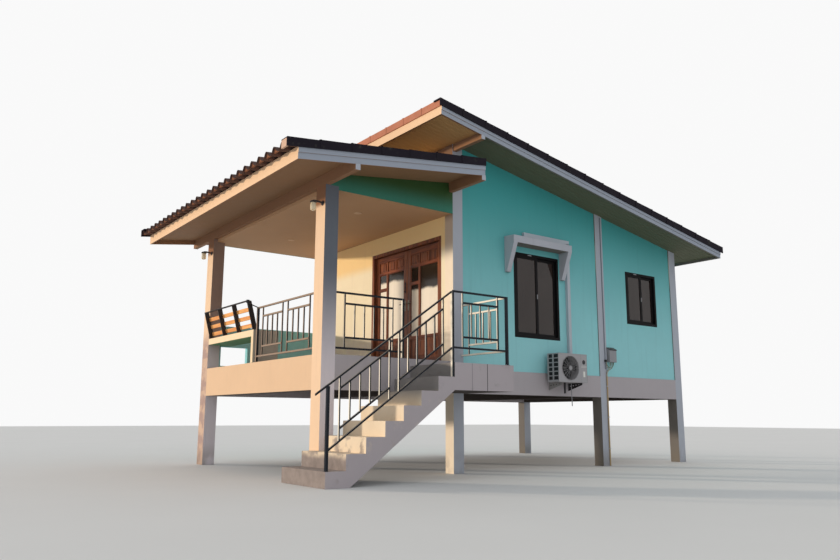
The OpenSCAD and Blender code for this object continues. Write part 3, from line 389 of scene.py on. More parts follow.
door_upright = wood_finish("door_wood_upright", rgb(154, 86, 46), rgb(74, 31, 14),
                           2, 0.2, 0.45)
door_across = wood_finish("door_wood_across", rgb(148, 78, 42), rgb(72, 30, 14),
                          1, 0.2, 0.45)
rack_orange = wood_finish("rack_slat_wood", rgb(255, 190, 114), rgb(228, 146, 80),
                          1, 0.1, 0.5)
rack_dark = wood_finish("rack_frame_wood", rgb(40, 26, 20), rgb(24, 15, 12), 2, 0.1, 0.5)
print("four woods ready")

# %% Metal, plastic and glass
def even_finish(name, base, rough, wear=0.1, metal=0.0, front=None, fades=(), shine=0.5):
    """Nearly even metal or plastic. `front` is painted low sunlight on the faces that look at
    the porch side. The post at the stair's foot and the one at the landing's corner are left
    without it, as painted shade, and on the railing along the porch's front it is dimmed by
    painted shade."""
    f = Finish(name, Specular_IOR_Level=shine)
    clouds = f.noise(5, 5)
    scratches = f.noise(3, 6, stretch=(30, 30, 4)).step(0.62, 0.7)
    surface = f.tint(base, 0.93 + 0.14 * clouds)
    for shade, axis, start, end in fades:
        surface = f.mix(surface, shade, f.along(axis, start, end))
    if front:
        corner_post = f.along(0, 2.42, 2.44) * f.along(1, -0.985, -0.993)
        sunlit_faces = f.back(0, 0.5, 0.8) * (1 - corner_post) * f.along(0, -0.45, -0.44)
        porch_front = f.along(0, 0.25, 0.2) * f.along(1, 0.0, 0.1)
        pale = f.mix(front, rgb(156, 134, 116), porch_front)
        surface = f.over(surface, pale, 0.9 + 0.2 * clouds, sunlit_faces)
    lying = f.facing(2).step(0.3, 0.9) * f.noise(14, 5).step(0.35, 0.7)
    return f.finished(f.noise(240, 2), 0.0002, Metallic=metal - 0.5 * metal * lying,
                      Base_Color=f.mix(surface, dust, lying * 0.3 + scratches * wear),
                      Roughness=rough + 0.15 * clouds)


def glass_finish(name, base, alpha, smear=0.05, shine=0.8):
    f = Finish(name, IOR=1.5, Specular_IOR_Level=shine)
    film = f.noise(3, 5, stretch=(1, 1, 0.4))
    return f.finished(Base_Color=f.tint(base, 0.8 + 0.4 * film),
                      Roughness=0.02 + smear * film.step(0.45, 0.8),
                      Alpha=alpha + 0.1 * film.step(0.4, 0.8))


def glass_with_painted_reflection(name):
    """Door glass, dark brown above, with a pale painted reflection over its lower part."""
    f = Finish(name, IOR=1.5, Roughness=0.08)
    edge = f.axis(2) + 0.16 * f.noise(2.4, 4) - 0.24 * f.along(1, 1.27, 1.37)
    painted_reflection = edge.step(3.06, 3.0)
    reflection_streaks = 0.86 + 0.26 * f.noise(1.2, 5, stretch=(1, 4, 0.6))
    return f.finished(Base_Color=f.over(rgb(48, 38, 29), rgb(255, 243, 222), reflection_streaks, painted_reflection),
                      Alpha=0.8 + 0.16 * painted_reflection)


dust = (0.45, 0.42, 0.38)
# The rails' pale porch-side faces are painted low sunlight.
rail_steel = even_finish("rail_steel", rgb(28, 32, 40), 0.45, 0.05, 0.05,
                         rgb(255, 246, 228), shine=0.2)
window_black = even_finish("window_black", rgb(15, 13, 15), 0.55, 0.02, shine=0.15)
cool_white = even_finish("cooler_shell", rgb(168, 165, 167), 0.42, 0.06)
zinc = even_finish("guard_wire", rgb(196, 196, 198), 0.42, 0.05, 0.2)
guard_grey = even_finish("cooler_guard", rgb(158, 156, 158), 0.5, 0.05)
# Past 4.5 m the brackets turn dark grey: painted shade on the right bracket.
bracket_zinc = even_finish("bracket_zinc", rgb(156, 154, 152), 0.5, metal=0.3,
                           fades=[(rgb(44, 42, 44), 0, 4.5, 4.8)])
dark_plastic = even_finish("dark_plastic", rgb(38, 36, 40), 0.48)
vent_black = even_finish("vent_black", rgb(14, 14, 16), 0.6, 0.0)
trunk_plastic = even_finish("trunking_plastic", rgb(190, 196, 204), 0.5, 0.05)
meter_grey = even_finish("meter_grey", rgb(150, 150, 154), 0.5)
pipe_tan = even_finish("conduit_tan", rgb(186, 158, 118), 0.55, 0.2,
                       fades=[(rgb(128, 134, 144), 2, 1.6, 1.68)])
lever_metal = even_finish("lever_metal", rgb(120, 110, 96), 0.3, metal=0.8)
cable_olive = even_finish("cable_olive", rgb(104, 108, 74), 0.6)
cable_pale = even_finish("cable_pale", rgb(176, 176, 164), 0.6)
lamp_white = even_finish("lamp_white", rgb(236, 234, 226), 0.35, 0.12)
rim_cream = even_finish("ceiling_lamp_rim", rgb(214, 178, 142), 0.5, 0.12)
# The panes' dark brown is a painted reflection of the garden.
window_glass = glass_finish("window_glass", rgb(50, 36, 30), 0.86, shine=0.45)
jar_glass = glass_finish("jar_glass", rgb(250, 236, 204), 0.45, 0.02)
# The door glass has a painted reflection over its lower part.
door_glass = glass_with_painted_reflection("door_glass")
print(len(bpy.data.materials), "materials")

# %% [markdown]
# ## Helpers for pieces
# Every new piece ends the same way: it rides on a body of the frame, takes its finish, and
# may stand for a solid of the frame, which is then hidden. Shapes are
# drawn in the house's own metres, measured from the foot of the near porch column.

# %% From a bmesh to a piece
def mesh_of(bm, name):
    """The drawing as a mesh; the bmesh is given back."""
    mesh = bpy.data.meshes.new(name)
    bm.to_mesh(mesh)
    bm.free()
    return mesh


def add_mesh(name, mesh, paint, slot, body="house", stands_for=(), smooth=False):
    made = new_object(name, mesh)
    if paint:
        mesh.materials.clear()
        mesh.materials.append(paint)
    mesh.polygons.foreach_set("use_smooth", [smooth] * len(mesh.polygons))
    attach(made, body)
    if stands_for:
        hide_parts(*stands_for)
    return made


def add_piece(name, bm, *rest, **more):
    return add_mesh(name, mesh_of(bm, name), *rest, **more)


def drawn(*shapes):
    """A bmesh of shapes, each a tuple of the helper that draws it and what it needs."""
    bm = bmesh.new()
    for helper, *needs in shapes:
        helper(bm, *needs)
    return bm


print("add_mesh, add_piece and drawn are ready")

# %% Shapes to draw with
def box(bm, low, high, soft=0.0, segments=2):
    """A block between two house points, with its edges eased by `soft`."""
    new = bmesh.ops.create_cube(bm, size=1.0)["verts"]
    for v in new:
        v.co = Vector([home[i] + low[i] + (v.co[i] + 0.5) * (high[i] - low[i]) for i in range(3)])
    if soft:
        round_off(bm, list({e for v in new for e in v.link_edges}), soft, segments)


def round_off(bm, edges, width, segments=2):
    bmesh.ops.bevel(bm, geom=edges, offset=width, segments=segments, affect="EDGES",
                    profile=0.5, clamp_overlap=True)


def softened(node, name, width, paint, slot):
    """A copy of a solid with its sharp edges rounded, which stands for the solid."""
    bm = bmesh.new()
    bm.from_mesh(nodes[node].data)
    bmesh.ops.remove_doubles(bm, verts=bm.verts, dist=1e-5)
    bmesh.ops.dissolve_limit(bm, angle_limit=math.radians(0.5), verts=bm.verts, edges=bm.edges)
    round_off(bm, [e for e in bm.edges if len(e.link_faces) == 2
                   and e.calc_face_angle(0) > math.radians(35)], width)
    add_piece(name, bm, paint, slot, stands_for=[node])


def loft(bm, rings, closed=False):
    """A skin over rings of house points, with a face on each end unless it is closed."""
    rings = [[bm.verts.new(home + Vector(p)) for p in ring] for ring in rings]
    made = [bm.faces.new((a[i - 1], a[i], b[i], b[i - 1]))
            for a, b in zip(rings, rings[1:] + rings[:closed]) for i in range(len(a))]
    if not closed:
        made += [bm.faces.new(rings[0]), bm.faces.new(rings[-1])]
    bmesh.ops.recalc_face_normals(bm, faces=made)


def bars_round(x0, x1, z0, z1, width):
    """The two uprights and the two rails of a rectangle, each as low and high places."""
    return (((x0, x0 + width, z0, z1), (x1 - width, x1, z0, z1)),
            ((x0 + width, x1 - width, z0, z0 + width), (x0 + width, x1 - width, z1 - width, z1)))


def prism(bm, outline, x0, x1):
    """An outline of (y, z) points carried from x0 to x1."""
    loft(bm, [[(x, y, z) for y, z in outline] for x in (x0, x1)])


def lathe(bm, profile, centre, steps=24, toward="z"):
    """Turn a profile of (radius, height) points, which starts and ends on the axis."""
    turned = {"z": lambda r, a, h: (r * math.cos(a), r * math.sin(a), h),
              "-y": lambda r, a, h: (r * math.cos(a), -h, r * math.sin(a)),
              "-x": lambda r, a, h: (-h, r * math.cos(a), r * math.sin(a))}[toward]
    rings = [[bm.verts.new(home + Vector(centre)
                           + Vector(turned(radius, 2 * math.pi * i / steps, height)))
              for i in range(steps if radius else 1)] for radius, height in profile]
    made = []
    for a, b in zip(rings, rings[1:]):
        for i in range(steps):
            corners = [ring[k % len(ring)] for ring, k in ((a, i), (a, i + 1), (b, i + 1), (b, i))]
            made.append(bm.faces.new(list(dict.fromkeys(corners))))
    bmesh.ops.recalc_face_normals(bm, faces=made)


def tube(bm, points, radius, sides=10, closed=False):
    """A round tube along house points, with its ends or itself closed."""
    line = [Vector(p) for p in points]
    side, rings = None, []
    for i, point in enumerate(line):
        after = line[(i + 1) % len(line)] if closed else line[min(i + 1, len(line) - 1)]
        before = line[i - 1] if closed else line[max(i - 1, 0)]
        along = (after - before).normalized()
        side = side or along.orthogonal().normalized()
        side = (side - along * side.dot(along)).normalized()
        other = along.cross(side)
        angles = [2 * math.pi * k / sides for k in range(sides)]
        rings.append([point + radius * (side * math.cos(a) + other * math.sin(a))
                      for a in angles])
    loft(bm, rings, closed)


print("boxes, lofts, turned shapes and tubes are ready")

# %% Paint on the solids
for paint, names in (
        (column_paint, "porch_columns"), (beam_paint, "porch_beams side_beams cross_beams"),
        (trim_paint, "house_columns"), (roof_beam_paint, "roof_beams"),
        (wall_cream, "front_wall_sides front_wall_over"), (board_paint, "fascias rake_boards"),
        (turquoise, "side_walls rear_wall far_parapet"), (infill_green, "porch_infill"),
        (ceiling_paint, "porch_ceiling"), (soffit_paint, "porch_soffit main_soffit"),
        (cement, "porch_floor house_floor rafters"), (stair_cement, "stair_flight landing"),
        (cap_brown, "verge_caps"), (cap_red, "ridge_cap"),
        (rail_steel, "stair_railing landing_railing return_railing"),
        (rail_steel, "porch_side_railing porch_front_railing"),
        (window_black, "window_frames"), (window_glass, "window_glass"),
        (door_glass, "door_glass_near door_glass_far"), (cool_white, "ac_case"),
        (trunk_plastic, "pipe_trunking"), (bracket_zinc, "ac_brackets"),
        (vent_black, "ac_fan"), (dark_plastic, "wall_lamps"), (meter_grey, "meter_box"),
        (pipe_tan, "conduit"), (jar_glass, "lamp_jars"), (rim_cream, "downlights"),
        (door_upright, "door_frame door_leaf_near door_leaf_far"), (rack_orange, "slat_rack")):
    for name in names.split():
        nodes[name].data.materials.clear()
        nodes[name].data.materials.append(paint)
softened("counter", "counter_render", 0.008, counter_paint, "cream_paint")
softened("window_hoods", "hood_render", 0.005, hood_paint, "grey_paint")
print("all solids dressed")

# %% [markdown]
# ## Geometry Nodes, written in Python
# What repeats is grown by Geometry Nodes. The tree is built here with named inputs, the
# modifier sets them by their identifiers, and the result is made a plain mesh, because
# instances and live modifiers do not survive an export. Every recipe takes a piece and a
# finish, sets copies of the piece on points, and ends by making them real.

# %% A recipe of nodes and how to grow it
class Recipe(Graph):
    def __init__(self, name):
        self.tree = bpy.data.node_groups.new(name, "GeometryNodeTree")
        self.tree.interface.new_socket("Geometry", in_out="OUTPUT",
                                       socket_type="NodeSocketGeometry")
        self.entry = self.tree.nodes.new("NodeGroupInput")
        self.exit = self.tree.nodes.new("NodeGroupOutput")
        self.names = {}
        self.piece, self.finish = self.shape("Piece"), self.knob("Finish", "Material")

    def knob(self, name, kind="Float"):
        made = self.tree.interface.new_socket(name, in_out="INPUT",
                                              socket_type="NodeSocket" + kind)
        self.names[name] = made.identifier
        return Wire(self.tree, self.entry.outputs[name])

    def shape(self, name):
        """The geometry of an object that is an input of this name."""
        return self.node("GeometryNodeObjectInfo", {"Object": self.knob(name, "Object")},
                         "Geometry")

    def copies(self, points, **more):
        return self.node("GeometryNodeInstanceOnPoints",
                         {"Points": points, "Instance": self.piece, **more})

    def end(self, copies):
        """Realize the instances and set the material, as every recipe here ends."""
        real = self.node("GeometryNodeRealizeInstances", {"Geometry": copies})
        painted = self.node("GeometryNodeSetMaterial",
                            {"Geometry": real, "Material": self.finish})
        self.tree.links.new(painted.socket, self.exit.inputs[0])
        print(self.tree.name, "has", len(self.tree.nodes), "nodes")

    def grow(self, bm, paint, place=(0, 0, 0), turn=Matrix(), **values):
        """The recipe's mesh for a piece drawn about the house's corner, set at a place."""
        bmesh.ops.translate(bm, vec=-home, verts=bm.verts)
        piece = bpy.data.objects.new("piece", mesh_of(bm, "piece"))
        host = new_object("host", bpy.data.meshes.new("host"))
        modifier = host.modifiers.new("recipe", "NODES")
        modifier.node_group = self.tree
        for name, value in {"Piece": piece, "Finish": paint, **values}.items():
            modifier[self.names[name]] = value
        graph = bpy.context.evaluated_depsgraph_get()
        graph.update()
        mesh = bpy.data.meshes.new_from_object(host.evaluated_get(graph), depsgraph=graph)
        host.modifiers.clear()
        bpy.data.objects.remove(host)
        bpy.data.objects.remove(piece)
        mesh.transform(Matrix.Translation(home + Vector(place)) @ turn)
        return mesh


print("Recipe ready")

# %% [markdown]
# ## Roof tiles
# Concrete tiles with one flat pan and one round roll lie in courses. Each tile leans on the
# one below it, so its lower end stands up by its own thickness, and that step casts the
# thin shadow lines across a roof. One tile of a few dozen faces is drawn, and the recipe
# lays it on a grid with a tone and a tiny turn of its own.

# %% One tile
roll_height, tile_thick = 0.06, 0.012
pan_share, pan_depth, roll_steps = 0.42, 0.018, 8


def roll_line(width):
    """The round roll of a tile, as (y, z) points."""
    return [(width * (pan_share + (1 - pan_share) * i / roll_steps),
             roll_height * math.sin(math.pi * i / roll_steps)) for i in range(roll_steps + 1)]


def one_tile(width, length):
    """Tile lying on z = 0: its lower end at x = 0, its pan first along y."""
    line = [(width * pan_share * i / 4, -pan_depth * math.sin(math.pi * i / 4))
            for i in range(4)] + roll_line(width)
    line[-1] = (width - 0.001, 0.0)
    return drawn((prism, line + [(y, z + tile_thick) for y, z in reversed(line)], 0, length))


print("a tile rolls up", roll_height, "m")


# %% The recipe that lays a roof
laying = Recipe("lay_tiles")
courses, rolls = laying.knob("Courses", "Int"), laying.knob("Rolls", "Int")
course, roll_pitch = laying.knob("Course"), laying.knob("Roll pitch")
lean, wobble, seed = laying.knob("Lean"), laying.knob("Wobble"), laying.knob("Seed", "Int")
size_x, size_y = course * (courses - 1), roll_pitch * (rolls - 1)
grid = laying.node("GeometryNodeMeshGrid", {
    "Vertices X": courses, "Vertices Y": rolls, "Size X": size_x, "Size Y": size_y})
centre = laying.node("ShaderNodeCombineXYZ", {"X": size_x * 0.5, "Y": size_y * 0.5})
corner = laying.node("GeometryNodeSetPosition", {"Geometry": grid, "Offset": centre})
chance = laying.node("FunctionNodeRandomValue", {
    "Min": (-1, -1, -1), "Max": (1, 1, 1), "Seed": seed}, "Value", data_type="FLOAT_VECTOR")
shake = laying.node("ShaderNodeVectorMath", {0: chance, "Scale": wobble}, operation="SCALE")
tilt = laying.node("ShaderNodeCombineXYZ", {"Y": lean})
turned = laying.node("ShaderNodeVectorMath", {0: tilt, 1: shake}, operation="ADD")
tone = laying.node("FunctionNodeRandomValue", {"Min": 0.0, "Max": 1.0, "Seed": seed + 7}, 1,
                   data_type="FLOAT")
laying.end(laying.node("GeometryNodeStoreNamedAttribute", {
    "Geometry": laying.copies(corner, Rotation=turned), "Name": "tone", "Value": tone},
    data_type="FLOAT", domain="INSTANCE"))

# %% [markdown]
# The main roof falls away from its high front edge, so its tiles start at the back. The
# recipe always lays from the lower end upwards: that sheet is turned half round about the
# upright axis, and the slope is set for the direction that then points uphill.

# %% Both roofs
porch_pitch, main_pitch = math.radians(7.3), math.radians(10.1)
porch_width, main_width, tile_pitch_wanted = 6.05, 5.85, 0.23
course_wanted, lap, tile_lift = 0.33, 0.045, 0.01
porch_bed, main_bed, porch_run = 0.1761, 0.1401, 3.31


def porch_line(x):
    """Lower edge of the porch roof's side boards."""
    return 4.054 + (x + 0.85) * math.tan(porch_pitch)


def main_line(x):
    """Lower edge of the main roof's side boards."""
    return 5.295 - (x - 1.54) * math.tan(main_pitch)


def sloped(angle):
    return Matrix.Rotation(angle, 4, "Y")


def lay_roof(name, node, width, length, place, turn, seed_value):
    count, across = round(length / course_wanted), round(width / tile_pitch_wanted)
    step = length / count
    mesh = laying.grow(
        one_tile(width / across, step + lap), tile_brown, place,
        turn @ Matrix.Translation((0, 0, tile_lift)),
        **{"Courses": count, "Rolls": across, "Course": step, "Roll pitch": width / across,
           "Lean": math.asin(tile_lift / step), "Wobble": 0.0016, "Seed": seed_value})
    add_mesh(name, mesh, None, "roof_tile", stands_for=[node])
    print(name, count, "courses of", across, "tiles,", len(mesh.polygons), "faces")


lay_roof("roof_tiles_porch", "porch_tiles", porch_width,
         porch_run / math.cos(porch_pitch) - lap,
         (-1.0, -0.8, porch_line(-1.02) + porch_bed), sloped(-porch_pitch), 11)
main_high_x, main_low_x = 1.543, 8.71 + 0.065 * math.cos(main_pitch)
lay_roof("roof_tiles_main", "main_tiles", main_width,
         (main_low_x - main_high_x) / math.cos(main_pitch) - lap,
         (main_low_x, 5.15, main_line(main_low_x) + main_bed),
         Matrix.Rotation(math.pi, 4, "Z") @ sloped(-main_pitch), 23)

# %% [markdown]
# ## Soffit boards
# The eaves of the main roof are closed with narrow boards that run down the slope. Their
# lower edges are eased, so a fine groove shows between two. The porch roof has wide sheets
# with an open joint. A groove is real shape and not a drawn line, because light falls into
# it from the side. One recipe lays either kind side by side.

# %% The recipe for boards side by side
boarding = Recipe("lay_boards")
board_count, board_pitch = boarding.knob("Count", "Int"), boarding.knob("Pitch")
boarding.end(boarding.copies(boarding.node("GeometryNodeMeshLine", {
    "Count": board_count, "Offset": boarding.node("ShaderNodeCombineXYZ", {"Y": board_pitch})})))


def lay_row(name, bm, paint, slot, place, slope, width, wanted, stands_for=()):
    """Copies of a drawn piece side by side over a width, about `wanted` apart."""
    count = round(width / wanted)
    mesh = boarding.grow(bm, paint, place, sloped(slope), Count=count, Pitch=width / count)
    add_mesh(name, mesh, None, slot, stands_for=stands_for)
    print(name, count, "of", round(width / count * 1000), "mm")


# %% One board, and a soffit of them
def lay_soffit(name, node, place, slope, length, width, wanted, gap, ease, paint):
    """Boards along x, with a gap between them and their two lower edges eased."""
    board, thick = width / round(width / wanted) - gap, 0.0118
    outline = [(ease, 0), (board - ease, 0), (board, ease), (board, thick), (0, thick), (0, ease)]
    lay_row(name, drawn((prism, outline, 0, length)), paint, "soffit_board", place, slope,
            width, wanted, [node])


lay_soffit("soffit_boards_main", "main_soffit", (1.565, -0.655, main_line(1.565) + 0.0452),
           main_pitch, 7.12 / math.cos(main_pitch), 5.76, 0.1, 0.0035, 0.004,
           main_soffit_paint)
lay_soffit("soffit_sheets_porch", "porch_soffit", (-0.825, -0.755, porch_line(-0.825) + 0.0802),
           -porch_pitch, 3.135 / math.cos(porch_pitch), 5.96, 1.192, 0.003, 0.001, soffit_paint)

# %% [markdown]
# ## The double door
# Each leaf is a frame of boards: two stiles, four rails, thin bars between the lights, three
# raised panels on top and a large one below. The grain follows each board, so the uprights
# and the cross pieces are two meshes with two finishes. They replace the plain solid of the
# leaf and swing with it.

# %% Sizes of a leaf
leaf_front, leaf_back, leaf_width = 2.366, 2.406, 0.9498
leaf_low, leaf_high, stile, bar = 1.693, 3.669, 0.1, 0.04
small_h, low_h, bead = 0.18, 0.33, 0.011
light_low, light_high = leaf_low + stile + low_h + bar, leaf_high - stile - small_h - bar
third = (leaf_width - 2 * stile - 2 * bar) / 3
cross_low = light_high - (light_high - light_low) / 4
print("lights from", round(light_low, 3), "to", round(light_high, 3))


# %% Boards, panels, beads and fittings of one leaf
def draw_leaf(name, body, node, hinge_y, way, narrow_first):
    """A leaf from its hinge side at hinge_y; way is +1 or -1 along y."""
    def part(bm, a, b, z0, z1, sunk=0.0, soft=0.003, depths=None):
        y0, y1 = sorted((hinge_y + way * a, hinge_y + way * b))
        x0, x1 = depths or (leaf_front + sunk, leaf_back - sunk)
        box(bm, (x0, y0, z0), (x1, y1, z1), soft)

    inner = leaf_width - stile
    split = stile + third if narrow_first else inner - third - bar
    narrow, wide = (stile, split), (split + bar, inner)
    if not narrow_first:
        narrow, wide = wide, narrow
    panels_low, panels_high = leaf_high - stile - small_h, leaf_high - stile
    uprights, across, metal = bmesh.new(), bmesh.new(), bmesh.new()
    part(uprights, 0, stile, leaf_low, leaf_high)
    part(uprights, inner, leaf_width, leaf_low, leaf_high)
    part(uprights, split, split + bar, light_low, light_high, soft=0.005)
    for i in (1, 2):
        a = stile + i * third + (i - 1) * bar
        part(uprights, a, a + bar, panels_low, panels_high, soft=0.005)
    for z0, z1 in ((leaf_low, leaf_low + stile), (light_low - bar, light_low),
                   (light_high, light_high + bar), (panels_high, leaf_high)):
        part(across, stile, inner, z0, z1)
    part(across, *narrow, cross_low, cross_low + bar, soft=0.005)

    fields = [(stile + i * (third + bar), stile + i * (third + bar) + third,
               panels_low, panels_high, 0.022) for i in range(3)]
    fields.append((stile, inner, leaf_low + stile, leaf_low + stile + low_h, 0.04))
    for a, b, z0, z1, margin in fields:
        part(uprights, a, b, z0, z1, 0.014, 0)
        part(uprights, a + margin, b - margin, z0 + margin, z1 - margin, 0.004, 0.009)
    for (a, b), z0, z1 in ((wide, light_low, light_high), (narrow, light_low, cross_low),
                           (narrow, cross_low + bar, light_high)):
        for bm, beads in zip((uprights, across), bars_round(a, b, z0, z1, bead)):
            for ends in beads:
                part(bm, *ends, 0.007)
    add_piece(name + "_uprights", uprights, door_upright, "door_wood", body, [node])
    add_piece(name + "_rails", across, door_across, "door_wood", body, [node])

    for z in (1.935, 2.68, 3.425):
        lathe(metal, [(0, 0), (0.0052, 0), (0.006, 0.001), (0.006, 0.044), (0.0052, 0.045),
                      (0, 0.045)], (2.418, hinge_y - way * 0.006, z - 0.046), 12)
        for a, b, depths in ((0, 0.025, (leaf_back - 0.001, leaf_back + 0.003)),
                             (-0.003, 0.004, (leaf_back, 2.418))):
            part(metal, a, b, z - 0.046, z - 0.001, 0, 0.0005, depths)
    grip = hinge_y + way * (leaf_width - 0.045)
    for x, out in ((leaf_front, -1), (leaf_back, 1)):
        part(metal, leaf_width - 0.065, leaf_width - 0.025, 2.62, 2.8, 0, 0.0015,
             sorted((x, x + out * 0.004)))
        tube(metal, [(x + out * dx, grip - way * dy, z) for dx, dy, z in (
            (0.003, 0, 2.74), (0.03, 0, 2.74), (0.038, 0.004, 2.74), (0.042, 0.014, 2.74),
            (0.042, 0.115, 2.738))], 0.0075)
    add_piece(name + "_fittings", metal, lever_metal, "rail_steel", body)


draw_leaf("near_leaf_wood", "near_leaf", "door_leaf_near", 0.366, 1, False)
draw_leaf("far_leaf_wood", "far_leaf", "door_leaf_far", 2.274, -1, True)
print("leaves drawn")

# %% The slide bolt high on the far leaf
bolt_y = 1.362
add_piece("leaf_slide_bolt", drawn(
    (tube, [(2.359, bolt_y, 2.93), (2.359, bolt_y, 3.12)], 0.006),
    (tube, [(2.359, bolt_y, 2.97), (2.34, bolt_y, 2.965), (2.33, bolt_y, 2.945)], 0.005),
    *[(box, (2.352, bolt_y - 0.016, z - 0.008), (2.3665, bolt_y + 0.016, z + 0.008), 0.002)
      for z in (2.95, 3.02, 3.09)]), dark_plastic, "rail_steel", "far_leaf")
print("bolt drawn")

# %% [markdown]
# ## Windows
# Each window has a dark metal frame with two sashes that slide past each other, the left
# one outside. A solid with two flat panes can't show that step, so the frame, the sashes
# and the panes are drawn again, one behind the other.

# %% Frames, sashes and panes
window_frame, sash_edge, sash_overlap, pane_hold = 0.048, 0.055, 0.0325, 0.006
house_width = 4.45


def draw_windows():
    metal, glass, catches = bmesh.new(), bmesh.new(), bmesh.new()

    def block(bm, x0, x1, z0, z1, depths, soft=0.0):
        y0, y1 = sorted(face(d) for d in depths)
        box(bm, (x0, y0, z0), (x1, y1, z1), soft)

    def four_bars(x0, x1, z0, z1, depths, width, soft):
        for pair in bars_round(x0, x1, z0, z1, width):
            for ends in pair:
                block(metal, *ends, depths, soft)

    inset, rim = window_frame - 0.01, sash_edge - pane_hold
    for face in (lambda depth: depth, lambda depth: house_width - depth):
        for x0, x1, z0, z1 in ((3.635, 4.715, 2.15, 3.6), (6.56, 7.48, 2.59, 3.6)):
            four_bars(x0, x1, z0, z1, (0.013, 0.095), window_frame, 0.003)
            middle, half_up, catch_y = (x0 + x1) / 2, (z0 + z1) / 2, (0.01, 0.024)
            c, d = z0 + inset, z1 - inset
            for a, b, depth in ((x0 + inset, middle + sash_overlap, 0.022),
                                (middle - sash_overlap, x1 - inset, 0.056)):
                four_bars(a, b, c, d, (depth, depth + 0.026), sash_edge, 0.002)
                block(glass, a + rim, b - rim, c + rim, d - rim, (depth + 0.01, depth + 0.015))
            block(catches, middle - 0.205, middle - 0.115, z1 - 0.034, z1 - 0.014, catch_y, 0.004)
            block(catches, middle + 0.001, middle + 0.019, half_up - 0.04, half_up + 0.04,
                  catch_y, 0.004)
    add_piece("window_sashes", metal, window_black, "window_metal", stands_for=["window_frames"])
    add_piece("window_panes", glass, window_glass, "clear_glass", stands_for=["window_glass"])
    add_piece("window_catches", catches, meter_grey, "window_metal")


draw_windows()
print("windows drawn")

# %% [markdown]
# ## Caps, fillers and the ridge
# The side caps of both roofs are laid end over end, with a raised rim at every joint. Under
# the front edge of the porch roof each roll is closed with mortar, which is a row like that
# of the boards. The rims need copies on given points. A second new recipe turns copies
# about an axis, and is ready for the guard of the fan.

# %% Two recipes: turned copies, and copies on given points
spinning = Recipe("spin_copies")
spokes, number = spinning.knob("Count", "Int"), spinning.node("GeometryNodeInputIndex")
share = number.math("DIVIDE", number, spokes)
spinning.end(spinning.copies(
    spinning.node("GeometryNodeMeshLine", {"Count": spokes, "Offset": (0.0, 0.0, 0.0)}),
    Rotation=spinning.node("ShaderNodeCombineXYZ", {"Y": share * (2 * math.pi)})))
placing = Recipe("copies_on_points")
placing.end(placing.copies(placing.shape("Points")))


def copies(name, bm, points, paint, slot):
    """Copies of a piece drawn about the house's corner, one on each house point."""
    dots = bpy.data.meshes.new("dots")
    dots.from_pydata(points, [], [])
    dots_object = bpy.data.objects.new("dots", dots)
    mesh = placing.grow(bm, paint, Points=dots_object)
    bpy.data.objects.remove(dots_object)
    print(name, len(points), "copies")
    add_mesh(name, mesh, None, slot)


# %% Rims on the joints of the side caps
cap_face, cap_drop, cap_length = 0.265, 0.113, 0.48


def cap_rims(name, line, pitch, x0, x1, near_y, far_y):
    """A rim for each joint: over the outer face and a little way over the top."""
    count = math.ceil((x1 - x0) / cap_length)
    joints = [x0 + i * (x1 - x0) / count for i in range(1, count)]
    for end, y, way in (("_near", near_y, -1), ("_far", far_y, 1)):
        a, b = sorted((way * 0.0185, way * 0.024))
        c, d = sorted((-way * 0.15, way * 0.024))
        rim = drawn((box, (-0.014, a, -cap_drop - 0.004), (0.014, b, 0.004), 0.002),
                    (box, (-0.014, c, -0.01), (0.014, d, 0.006), 0.002))
        bmesh.ops.rotate(rim, cent=home, matrix=sloped(pitch), verts=rim.verts)
        copies(name + end, rim, [(x, y, line(x) + 0.006) for x in joints], cap_brown,
               "ridge_tile")


cap_rims("porch_cap_rims", lambda x: porch_line(x) + cap_face, -porch_pitch, -1.02, 2.31,
         -0.8, 5.25)
cap_rims("main_cap_rims", lambda x: main_line(x) + cap_face - 0.03, main_pitch, 1.5, 8.774,
         -0.7, 5.15)

# %% Mortar under the rolls at the porch's front edge, and in the near cap's end
tile_width = porch_width / round(porch_width / tile_pitch_wanted)
lay_row("roll_fillers", drawn((prism, roll_line(tile_width), 0, 0.03)), mortar, "roof_tile",
        (-0.976, -0.8, porch_line(-1.02) + porch_bed + 0.012), -porch_pitch, porch_width,
        tile_width)
plug_top = porch_line(-1.018) + cap_face
add_piece("cap_end_plugs", drawn(
    (box, (-1.021, -0.799, plug_top - cap_drop), (-0.99, -0.651, plug_top - 0.002), 0.004)),
    mortar_pale, "ridge_tile")
print("cap end at", round(plug_top, 3), "m")

# %% The ridge cap, piece by piece
def one_cap(length):
    """An angle of concrete along y: a skirt in front and a leg that lies on the tiles."""
    skirt_low, crown, skin, leg = 0.128, 0.246, 0.016, 0.165
    outline = [(0, skirt_low), (0, crown - 0.012), (0.004, crown - 0.003), (0.014, crown),
               (leg, crown - 0.006), (leg, crown - 0.006 - skin), (skin, crown - skin),
               (skin, skirt_low)]
    return drawn((loft, [
        [(x - lift * (0.004 if x < skin else 0), y,
          z - x * math.tan(main_pitch) + lift * (0.005 if z > crown - 0.02 else 0))
         for x, z in outline] for y, lift in ((0, 1), (0.03, 1), (0.034, 0), (length, 0))]))


lay_row("ridge_caps", one_cap(main_width / round(main_width / cap_length)), cap_red,
        "ridge_tile", (1.524, -0.7, main_line(1.524)), 0, main_width, cap_length,
        ["ridge_cap"])

# %% [markdown]
# ## The air conditioner
# A pressed steel case with eased edges stands on two perforated brackets. Its round wire
# guard is a spoked wheel: one wire is drawn, and the recipe turns copies of it about the
# fan's axis. The side has a sheet with twelve openings over the dark fins.

